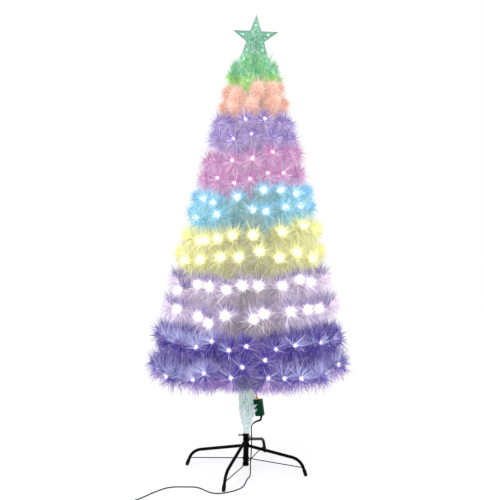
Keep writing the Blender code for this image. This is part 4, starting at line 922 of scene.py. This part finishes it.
# every ring's slope, from the lowest tip to the highest, and where its branches start on the hub
LOW_SLOPE, SLOPE_GAIN, LOWEST_TIP, TIP_RISE = 0.31, 0.34, 0.476, 1.127
HUB_START = 0.013


def body_of(band):
    """The half of the tree that a band's rings are on."""
    return "lower_tree" if band in ("violet", "white", "yellow") else "upper_tree"


def tip_places(count, front, droop):
    """Every tip's angle, in radians, and its height above its ring. The back follows the front's lean."""
    listed = np.array(front, float)
    angles, rises = np.radians(listed[:, 0]), listed[:, 1] / 1000
    lean = (rises * np.sin(angles)).sum() / (np.sin(angles) ** 2).sum() if len(front) > 2 else 0.0
    # a wide gap between lit tips holds a branch whose end points away
    wide = np.flatnonzero(np.diff(angles) > 1.6 * math.tau / count)
    unlit = (angles[wide] + angles[wide + 1]) / 2
    unlit_rises = (rises[wide] + rises[wide + 1]) / 2 - droop * np.sin(unlit) ** 2
    rest = count - len(front) - len(unlit)
    gap = math.tau - (angles[-1] - angles[0])
    others = angles[-1] + gap * np.arange(1, rest + 1) / (rest + 1)
    other_rises = 0.5 * lean * np.sin(others) - droop * np.sin(others) ** 2
    return np.concatenate([angles, unlit, others]), np.concatenate([rises, unlit_rises, other_rises])


def ring_axes(node, radius, height, count, rng):
    """Where the branches of a ring start at its hub, and their lit tips."""
    angles, rises = tip_places(count, FRONT_TIPS[node], DROOPS.get(node, 0.0))
    radii = radius + rng.normal(0, 0.003, count)
    tips = np.column_stack([radii * np.sin(angles), -radii * np.cos(angles), height + rises])
    slope = LOW_SLOPE + SLOPE_GAIN * (height - LOWEST_TIP) / TIP_RISE
    hub_height = np.full(count, height - radius * slope)
    return np.column_stack([HUB_START * np.sin(angles), -HUB_START * np.cos(angles), hub_height]), tips


print(sum(ring[3] for ring in RINGS), "branches")

# %% Needles on every ring
# needles on each branch, strips that fan out round its light, and fine ones that blur its outline
NEEDLES_PER_BRANCH = {"violet": 1000, "white": 820, "yellow": 780, "cyan": 800, "pink": 1040, "purple": 1080}
PLAIN_NEEDLES = 950
HALO = {"orange": 640, "cyan": 340, "yellow": 280, "white": 260}
PLAIN_HALO, HAZE = 150, 60
WIDE_NEEDLE, NARROW_NEEDLE, HALO_STRIP = 0.0034, 0.0028, 0.0026
# how far out of the tip the strips round a light start, and how much further the longest reach
HALO_OUT, HALO_EXTRA = 0.010, 0.010


def halo_reaches(band, light):
    """The shortest and longest strips round a light. Orange ones are cut to round balls."""
    return (0.018, 0.030) if band == "orange" else (light, light * 1.5 + HALO_EXTRA)


axes_of = {}
total = 0
for number, (node, radius, height, count, reach, light) in enumerate(RINGS):
    band = node.split("_")[0]
    rng = np.random.default_rng(100 + number)
    starts, tips = axes_of[node] = ring_axes(node, radius, height, count, rng)
    per_branch = NEEDLES_PER_BRANCH.get(band, PLAIN_NEEDLES)
    *brush, share = brush_needles(starts, tips, per_branch, reach, rng)
    forward = unit(tips - starts)
    haze = spray(tips, forward, HAZE, 0.8 * reach, 1.16 * reach, rng, ahead=0.1)
    haze[2][:] *= 0.92 + 0.34 * np.abs(haze[1][:, 2]) ** 1.5
    roots, directions, reaches = together(brush, haze)
    share = np.concatenate([share, np.ones(len(haze[0]))])
    ends = roots + directions * reaches[:, None]
    tip_heights = np.concatenate([np.repeat(tips[:, 2], per_branch), np.repeat(tips[:, 2], HAZE)])
    mix = choose_mix(band, share, roots, ends, (ends[:, 2] - tip_heights) / reach, rng)
    halo_count = HALO.get(band, PLAIN_HALO)
    # the strips round a light are all of the lit mix: painted light from the fibre end
    halo = spray(tips + HALO_OUT * forward, forward, halo_count, *halo_reaches(band, light), rng)
    width = NARROW_NEEDLE if band in ("pink", "purple") else WIDE_NEEDLE
    needles = strip_piece(
        node.replace("branches", "needles"),
        *together((roots, directions, reaches), halo),
        np.repeat([width, HALO_STRIP], [len(mix), len(halo[0])]),
        films[band],
        body_of(band),
        rng,
        mix_place(np.concatenate([mix, np.full(len(halo[0]), LIT)]), rng),
    )
    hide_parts(node)
    total += len(needles.data.polygons)
print(total, "needles,", NARROW_NEEDLE * 1000, "to", WIDE_NEEDLE * 1000, "mm wide at the wire")

# %% [markdown]
# ### The sprig at the top
#
# Short branches fan out under the star, and long green strips stand up between its lower arms. The helpers
# for the rings make the branches, and the upright strips need no branch: they start in a low band in front
# of the pole.

# %% A fan of green strips
# strips that stand up, needles on each short branch and their reach, the branches' foot, and every width
FOUNTAIN, SPRIG_NEEDLES, SPRIG_REACH, SPRIG_FOOT, SPRIG_WIDTH = 760, 420, 0.026, 1.590, 0.0038


def fan(radius, height, degrees):
    """Tips at one radius and height, at angles round the pole."""
    angles = np.radians(degrees)
    return np.column_stack([radius * np.cos(angles), radius * np.sin(angles), np.full(len(angles), height)])


rng = np.random.default_rng(60)
behind, in_front = [14, 52, 90, 128, 166], [-35, -68, -112, -145]
sprig_tips = np.concatenate([fan(0.030, 1.640, behind), fan(0.044, 1.612, in_front)])
sprig_starts = sprig_tips * (0.2, 0.2, 0) + (0, 0, SPRIG_FOOT)
roots, directions, reaches, _ = brush_needles(sprig_starts, sprig_tips, SPRIG_NEEDLES, SPRIG_REACH, rng)
foot = np.column_stack([
    rng.normal(0, 0.021, FOUNTAIN),
    rng.uniform(-0.040, -0.027, FOUNTAIN),
    rng.uniform(1.542, 1.60, FOUNTAIN),
])
# the further out a strip stands, the more it leans out
rising = unit(np.column_stack([
    rng.normal(0, 0.25, FOUNTAIN) + foot[:, 0] * 15,
    rng.normal(-0.05, 0.05, FOUNTAIN),
    np.ones(FOUNTAIN),
]))
heights = (0.050 + 0.045 * rng.random(FOUNTAIN)) * np.abs(rising[:, 2]) ** 2
sprig_mix = rng.choice([DEEP, MAIN, PALE, ODD], len(roots) + FOUNTAIN, p=[0.58, 0.25, 0.10, 0.07])
sprig = strip_piece(
    "top_sprig",
    *together((roots, directions, reaches), (foot, rising, heights)),
    SPRIG_WIDTH,
    films["green"],
    "upper_tree",
    rng,
    mix_place(sprig_mix, rng),
)
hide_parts("top_tuft")
print(len(sprig.data.polygons), "strips in the sprig")

# %% [markdown]
# ## Lit fibre ends
#
# At each tip the optical fibres of a branch fan out and glow. In the picture each is a small white
# burst. A glowing ball would look like a bulb, so the burst is made of strips again: short broad ones that
# fill its middle and fine long rays.

# %% Lit acrylic
LIT_FIBRE = {
    "violet": "#FFFFFF", "white": "#FFFFFF", "yellow": "#FFFFEE", "cyan": "#FFFFFF",
    "pink": "#FFF8FD", "purple": "#FCF9FF", "orange": "#FFE0D4", "green": "#F0FFE8",
}
LIT_STRENGTH = {"orange": 0.30}


def lit_fibre(band):
    """Drawn acrylic fibre, lit from inside: its ends are as bright as the background."""
    # where a cut is rough it scatters warmer light, in patches about 4 mm across
    return mottled(
        f"{band}_lit_fibre", 250.0, [(0.35, "#F6EAE6"), (0.65, LIT_FIBRE[band])], Roughness=0.3, IOR=1.49,
        Emission_Color=linear(LIT_FIBRE[band]), Emission_Strength=LIT_STRENGTH.get(band, 1.0),
    )


fibres = {band: lit_fibre(band) for band in FILMS}
print(len(fibres), "colours of light")

# %% A burst at every lit tip
# strips in a burst's core and rays, and their width at the least and as a share of the light's radius
CORE_STRIPS, RAY_STRIPS = 130, 220
CORE_WIDTH, RAY_WIDTH, LEAST_WIDTH = 0.34, 0.07, 0.0012
# past this many degrees from the front every branch is lit
LIT_PAST = 70
# how far out of the tip a burst stands. Those within 22 degrees of a side lie deeper in the needles and are
# smaller, so that they don't bite into the outline
OUT, OUT_ASIDE, SIZE_ASIDE, SIDE_BAND = 0.012, 0.001, 0.72, 22
bursts = 0
for number, (node, _, _, count, _, light) in enumerate(RINGS):
    band = node.split("_")[0]
    rng = np.random.default_rng(300 + number)
    starts, tips = axes_of[node]
    azimuth = np.degrees(np.arctan2(tips[:, 0], -tips[:, 1]))
    shown = (np.arange(count) < len(FRONT_TIPS[node])) | (np.abs(azimuth) > LIT_PAST)
    forward = unit(tips - starts)[shown]
    aside = np.abs(np.abs(azimuth[shown]) - 90) < SIDE_BAND
    centres = tips[shown] + np.where(aside, OUT_ASIDE, OUT)[:, None] * forward
    core = spray(centres, forward, CORE_STRIPS, light * 0.6, light * 0.95, rng)
    rays = spray(centres, forward, RAY_STRIPS, light * 0.85, light * 1.7, rng, skew=1.8)
    size = np.where(aside, SIZE_ASIDE, 1.0)
    size = np.concatenate([np.repeat(size, CORE_STRIPS), np.repeat(size, RAY_STRIPS)])
    roots, directions, reaches = together(core, rays)
    widths = [light * CORE_WIDTH, max(LEAST_WIDTH, light * RAY_WIDTH)]
    burst = strip_piece(
        node.replace("branches", "lights"),
        roots,
        directions,
        reaches * size,
        np.repeat(widths, [len(core[0]), len(rays[0])]) * size,
        fibres[band],
        body_of(band),
        rng,
    )
    bursts += len(centres)
print(bursts, "bursts on", len(RINGS), "rings")

# %% [markdown]
# ## Hubs and twisted wires
#
# Each ring hangs on a moulded hub, and each branch is two steel wires twisted together, which is what
# holds the film. The needles hide most of it, but it shows from below and from above. Curves with a bevel
# could draw the wires, but one mesh a ring is lighter. The hub is a profile that is turned round the pole.

# %% Galvanised wire and moulded hubs
# zinc spangle on drawn wire is about 3 mm across, and polypropylene has flow marks about 2 mm across
galvanised_wire = mottled(
    "galvanised_wire", 300.0, [(0.3, "#8F9296"), (0.7, "#B9BCC0")], detail=3.0, Metallic=1.0, Roughness=0.38,
)
moulded_hub = mottled(
    "moulded_polypropylene", 500.0, [(0.3, "#3E4A42"), (0.7, "#4C5A50")], 0.0002, 0.2, detail=3.0,
    Roughness=0.5, IOR=1.49,
)
print("materials", galvanised_wire.name, "and", moulded_hub.name)


# %% Twisted wires and a turned hub
WIRE_PITCH, WIRE_RADIUS = 0.024, 0.0009
HUB_SIDES = 32
# radius and height of every corner of a hub's section
HUB_PROFILE = [
    (0.0101, -0.0062), (0.0109, -0.0070), (0.0140, -0.0070), (0.0151, -0.0060), (0.0151, -0.0025),
    (0.0138, -0.0018), (0.0138, 0.0018), (0.0151, 0.0025), (0.0151, 0.0060), (0.0140, 0.0070),
    (0.0109, 0.0070), (0.0101, 0.0062),
]


def twisted_wires(starts, tips):
    """Two strands wound round each branch's line, as thin three sided tubes."""
    for start, tip in zip(starts, tips):
        length = np.linalg.norm(tip - start)
        share = np.linspace(0, 1, max(8, round(length / WIRE_PITCH * 6)))[None]
        line, forward = (a[0] for a in along_branches(start[None], tip[None], share))
        side = unit(np.cross(forward, [0, 0, 1.0]))
        over = np.cross(side, forward)
        for phase in (0, math.pi):
            angle = phase + math.tau * share[0] * length / WIRE_PITCH
            strand = line + WIRE_RADIUS * (side * np.cos(angle)[:, None] + over * np.sin(angle)[:, None])
            verts, faces = [], []
            rows = len(strand)
            for k in range(3):
                corner = math.tau * k / 3
                verts.append(strand + WIRE_RADIUS * (side * math.cos(corner) + over * math.sin(corner)))
                a, b = k * rows, (k + 1) % 3 * rows
                faces += [(a + i, a + i + 1, b + i + 1, b + i) for i in range(rows - 1)]
            yield np.concatenate(verts), faces


def turned_ring(profile, centre_height):
    """A closed ring with a profile of (radius, height) points, turned round the pole."""
    angles = math.tau * np.arange(HUB_SIDES) / HUB_SIDES
    verts = [(r * math.cos(a), r * math.sin(a), centre_height + z) for a in angles for r, z in profile]
    n = len(profile)
    faces = []
    for i in range(HUB_SIDES):
        for k in range(n):
            a, b = i * n, (i + 1) % HUB_SIDES * n
            faces.append((a + k, b + k, b + (k + 1) % n, a + (k + 1) % n))
    return verts, faces


for node, *_ in RINGS:
    band, _, level = node.split("_")
    starts, tips = axes_of[node]
    mesh = joined(twisted_wires(starts, tips))
    wires = new_piece(f"{band}_wires_{level}", *mesh, galvanised_wire, body_of(band))
    ring = turned_ring(HUB_PROFILE, starts[0, 2])
    hub = new_piece(f"{band}_hub_{level}", *ring, moulded_hub, body_of(band), smooth=False)
print("hubs and wires on", len(RINGS), "rings")

# %% [markdown]
# ## The star
#
# The star is moulded in clear polystyrene with a green tint, in two shells that are welded at the rim. The
# wall of such shells is cut into small prisms, which break up what is seen through them into pale and dark
# flecks. Prisms can be real geometry here: a fine triangular mesh with every third point sunk.

# %% The star's outline
STAR_OUTER, STAR_INNER, STAR_DEPTH, STAR_WALL, STAR_DRAFT = 0.091, 0.036, 0.0050, 0.0012, 0.0015
STAR_PLACE = Matrix.Translation((0, -0.0148, 1.703)) @ Euler((0, math.radians(1.6), 0)).to_matrix().to_4x4()
# how far the lamps are from the star's middle, and how far round each the wall is smooth
LAMP_REACH, LAMP_CLEAR = 0.051, 0.007
LAMPS = [
    (LAMP_REACH * math.cos(a), LAMP_REACH * math.sin(a))
    for a in (math.pi / 2 + math.tau * k / 5 for k in range(5))
]
# triangles along each side of the outline
ROWS = 12


def star_outline(inset):
    """Ten corners of the star, moved in by inset all round."""
    edge = math.atan2(STAR_INNER * math.sin(math.pi / 5), STAR_OUTER - STAR_INNER * math.cos(math.pi / 5))
    shrink = 1 - inset / (STAR_OUTER * math.sin(edge))
    corners = []
    for k in range(10):
        angle = math.pi / 2 + math.pi * k / 5
        reach = shrink * (STAR_INNER if k % 2 else STAR_OUTER)
        corners.append((reach * math.cos(angle), reach * math.sin(angle)))
    return corners


def around(corners):
    """Points all round an outline, ROWS to a side."""
    return [
        (a[0] + (b[0] - a[0]) * t / ROWS, a[1] + (b[1] - a[1]) * t / ROWS)
        for a, b in zip(corners, corners[1:] + corners[:1])
        for t in range(ROWS)
    ]


print("the star's arms are", round(1000 * (STAR_OUTER - STAR_INNER)), "mm long past the notches")


# %% A sheet of prisms
def star_sheet(shell, corners, side, rim_depth, crown, prism):
    """Adds a sheet to a bmesh, and gives its edge. It is crown higher in the middle, and cut prism deep."""
    made = {}
    for k in range(10):
        (ax, az), (bx, bz) = corners[k], corners[(k + 1) % 10]
        grid = {}
        for i in range(ROWS + 1):
            for j in range(i + 1):
                s, t = i / ROWS, (j / i if i else 0)
                x, z = s * (ax + (bx - ax) * t), s * (az + (bz - az) * t)
                key = (round(x, 7), round(z, 7))
                if key not in made:
                    smooth = any(math.hypot(x - lx, z - lz) < LAMP_CLEAR for lx, lz in LAMPS)
                    sunk = prism if (i + j) % 3 == 0 and 0 < i < ROWS and not smooth else 0
                    y = side * (rim_depth + crown * (1 - s) - sunk)
                    made[key] = shell.verts.new((x, y, z))
                grid[i, j] = made[key]
        for i in range(ROWS):
            for j in range(i + 1):
                shell.faces.new((grid[i, j], grid[i + 1, j], grid[i + 1, j + 1]))
                if j < i:
                    shell.faces.new((grid[i, j], grid[i + 1, j + 1], grid[i, j + 1]))
    return [made[round(x, 7), round(z, 7)] for x, z in around(corners)]


test = bmesh.new()
edge = star_sheet(test, star_outline(0), -1, STAR_DEPTH, 0, 0)
print("a sheet of", len(test.faces), "triangles, with", len(edge), "points on its edge")
test.free()


# %% The two shells
# half the weld's gap, and for each shell its side, how high its crown is and how deep its prisms are cut
HALF_GAP = 0.0001
SHELLS = {"star_front_shell": (-1, 0.0035, 0.0009), "star_back_shell": (1, 0.0, 0.0007)}


def star_shell(side, crown, prism):
    """A closed shell. side is -1 for the front and 1 for the back, and the outside is cut into prisms."""
    shell = bmesh.new()

    def hoop(inset):
        return [shell.verts.new((x, side * HALF_GAP, z)) for x, z in around(star_outline(inset))]

    outside = star_sheet(shell, star_outline(STAR_DRAFT), side, STAR_DEPTH, crown, prism)
    edge = hoop(0)
    inner_edge = hoop(STAR_WALL)
    inside = star_sheet(shell, star_outline(STAR_DRAFT + STAR_WALL), side, STAR_DEPTH - STAR_WALL, crown, 0)
    for upper, lower in ((outside, edge), (edge, inner_edge), (inner_edge, inside)):
        for k in range(len(upper)):
            n = (k + 1) % len(upper)
            rim = shell.faces.new((upper[k], upper[n], lower[n], lower[k]))
            rim.material_index = 1
    bmesh.ops.recalc_face_normals(shell, faces=shell.faces)
    shell.transform(STAR_PLACE)
    mesh = bpy.data.meshes.new("shell")
    shell.to_mesh(mesh)
    shell.free()
    return mesh


# clear moulded polystyrene, green tinted. The pale and dark flecks that its prisms make of the light through
# it are painted into its colour, as noise about 7 mm across
star_clear = mottled(
    "green_tinted_polystyrene", 150.0, [(0.38, "#60CEA4"), (0.6, "#E0FAF0")], detail=3.0, Roughness=0.12,
    IOR=1.59, Transmission_Weight=0.8,
)
# the rim is painted darker: painted shade where its walls lead the light away
star_edge = mottled(
    "green_polystyrene_edge", 150.0, [(0.38, "#3A9470"), (0.6, "#58B28C")], detail=3.0, Roughness=0.12,
    IOR=1.59, Transmission_Weight=0.3,
)
for node, (side, crown, prism) in SHELLS.items():
    mesh = star_shell(side, crown, prism)
    piece = place_mesh(node.replace("shell", "prisms"), mesh, [star_clear, star_edge], "star")
    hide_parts(node)
print("star shell", len(mesh.polygons), "faces")

# %% [markdown]
# ### Lamps in the star
#
# One lamp sits in each arm, on a white board. Each has a domed epoxy lens, which is cast and glows all
# through. Half a ball from Blender's menu would do, but rings of points give a flatter dome just as easily.

# %% Board, socket and lenses
LENS_RADIUS, LENS_RISE = 0.0032, 0.0028
# rings of points on a lens, rings that would reach its very crown, and points on each
LENS_ROWS, FULL_ROWS, LENS_SIDES = 5, 4.6, 14
# white polystyrene is satin and even, with flow marks between 1 and 2 mm across
white_polystyrene = mottled(
    "white_polystyrene", 600.0, [(0.3, "#DDE4E0"), (0.7, "#ECF1EE")], 0.0001, Roughness=0.4, IOR=1.59,
)
finish_nodes(white_polystyrene, "star_light_board", "star_socket")
# cast epoxy is clear and smooth, with faint flow marks about 3 mm long, and its lamp fills it with light
lens_glow = mottled(
    "lit_epoxy_lens", 330.0, [(0.35, "#EFF8F3"), (0.65, "#FFFFFF")], Roughness=0.2, IOR=1.55,
    Emission_Color=linear("#FFFFFF"), Emission_Strength=2.4,
)


def lens_mesh(x, z):
    """A dome over a lamp, with a small flat on its crown, closed behind."""
    verts, faces = [], []
    for row in range(LENS_ROWS):
        tilt = math.pi / 2 * row / FULL_ROWS
        radius, out = LENS_RADIUS * math.cos(tilt), HALF_GAP + LENS_RISE * math.sin(tilt)
        for a in (math.tau * i / LENS_SIDES for i in range(LENS_SIDES)):
            point = Vector((x, 0, z)) + Vector((radius * math.cos(a), -out, radius * math.sin(a)))
            verts.append(STAR_PLACE @ point)
    for row in range(LENS_ROWS - 1):
        for i in range(LENS_SIDES):
            a, b = LENS_SIDES * row + i, LENS_SIDES * row + (i + 1) % LENS_SIDES
            faces.append((a, b, b + LENS_SIDES, a + LENS_SIDES))
    crown = LENS_SIDES * (LENS_ROWS - 1)
    return verts, [*faces, tuple(range(crown, crown + LENS_SIDES)), tuple(reversed(range(LENS_SIDES)))]


lenses = new_piece("star_lenses", *joined(lens_mesh(x, z) for x, z in LAMPS), lens_glow, "star")
print(len(LAMPS), "lenses of", round(2000 * LENS_RADIUS, 1), "mm")

# %% [markdown]
# ## Floor, backdrop and light
#
# The photograph is a cut-out on white. Here a pale paper floor lies under the tree. What the camera sees of
# it is partly its own light, so that it reads white out to the horizon, and partly real shading, so that it
# still takes the tree's shadow. The world is white to the camera, and a plain even sky to everything else.


# %% Paper floor
FLOOR_OWN_LIGHT, FLOOR_HALF, FLOOR_HEIGHT = 0.62, 9, -0.0005


def background_seen(tree):
    """1 where the camera, a mirror or glass looks at the background, and 0 for all other light."""
    path = add_node(tree, "ShaderNodeLightPath")
    rays = {0: path.outputs["Is Camera Ray"], 1: path.outputs["Is Glossy Ray"]}
    seen = add_node(tree, "ShaderNodeMath", rays, operation="MAXIMUM")
    rays = {0: seen.outputs[0], 1: path.outputs["Is Transmission Ray"]}
    return add_node(tree, "ShaderNodeMath", rays, operation="MAXIMUM").outputs[0]


studio_paper, tree, shader = start_material(
    "studio_paper", Roughness=0.9, IOR=1.45, Specular_IOR_Level=0.1, Emission_Color=linear("#FFFFFF")
)
seen = background_seen(tree)
tones = {0: seen, 6: linear("#F0F0F0"), 7: linear("#B8B8B8")}
tone = add_node(tree, "ShaderNodeMix", tones, data_type="RGBA")
glow = add_node(tree, "ShaderNodeMath", {0: seen, 1: FLOOR_OWN_LIGHT}, operation="MULTIPLY")
tree.links.new(tone.outputs[2], shader.inputs["Base Color"])
tree.links.new(glow.outputs[0], shader.inputs["Emission Strength"])
corners = [(FLOOR_HALF * x, FLOOR_HALF * y, FLOOR_HEIGHT) for x, y in ((-1, -1), (1, -1), (1, 1), (-1, 1))]
floor = new_piece("floor", corners, [(0, 1, 2, 3)], studio_paper)
floor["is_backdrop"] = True
print("floor", 2 * FLOOR_HALF, "m across")

# %% World
SKY_LIGHT = 0.8
world = bpy.data.worlds.new("studio")
world.use_nodes = True
bpy.context.scene.world = world
tree = world.node_tree
tree.nodes.clear()
sky = add_node(tree, "ShaderNodeBackground", {"Color": linear("#FFFFFF"), "Strength": SKY_LIGHT})
white = add_node(tree, "ShaderNodeBackground", {"Color": linear("#FFFFFF"), "Strength": 1.0})
shaders = {0: background_seen(tree), 1: sky.outputs[0], 2: white.outputs[0]}
blend = add_node(tree, "ShaderNodeMixShader", shaders)
add_node(tree, "ShaderNodeOutputWorld", {"Surface": blend.outputs[0]})
print("world of", len(tree.nodes), "nodes")


# %% Two softboxes
def add_lamp(name, place, aim, size, power):
    """A square area light that is size metres across, gives power watts and points at aim."""
    lamp = bpy.data.objects.new(name, bpy.data.lights.new(name, "AREA"))
    lamp.data.size = size
    lamp.data.energy = power
    lamp.location = place
    lamp.rotation_euler = (Vector(aim) - Vector(place)).to_track_quat("-Z", "Y").to_euler()
    bpy.context.scene.collection.objects.link(lamp)


add_lamp("key_softbox", (-2.2, -3.0, 2.8), (0, 0, 0.9), 2.0, 70)
add_lamp("fill_softbox", (2.6, -2.4, 1.8), (0, 0, 0.8), 2.0, 40)
bpy.context.scene.view_settings.view_transform = "Standard"

# %% Write the sizes and finish
new_box = [list(corner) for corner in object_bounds()]
print("box before and after:", [[round(c, 3) for c in corner] for corner in cad_box + new_box])
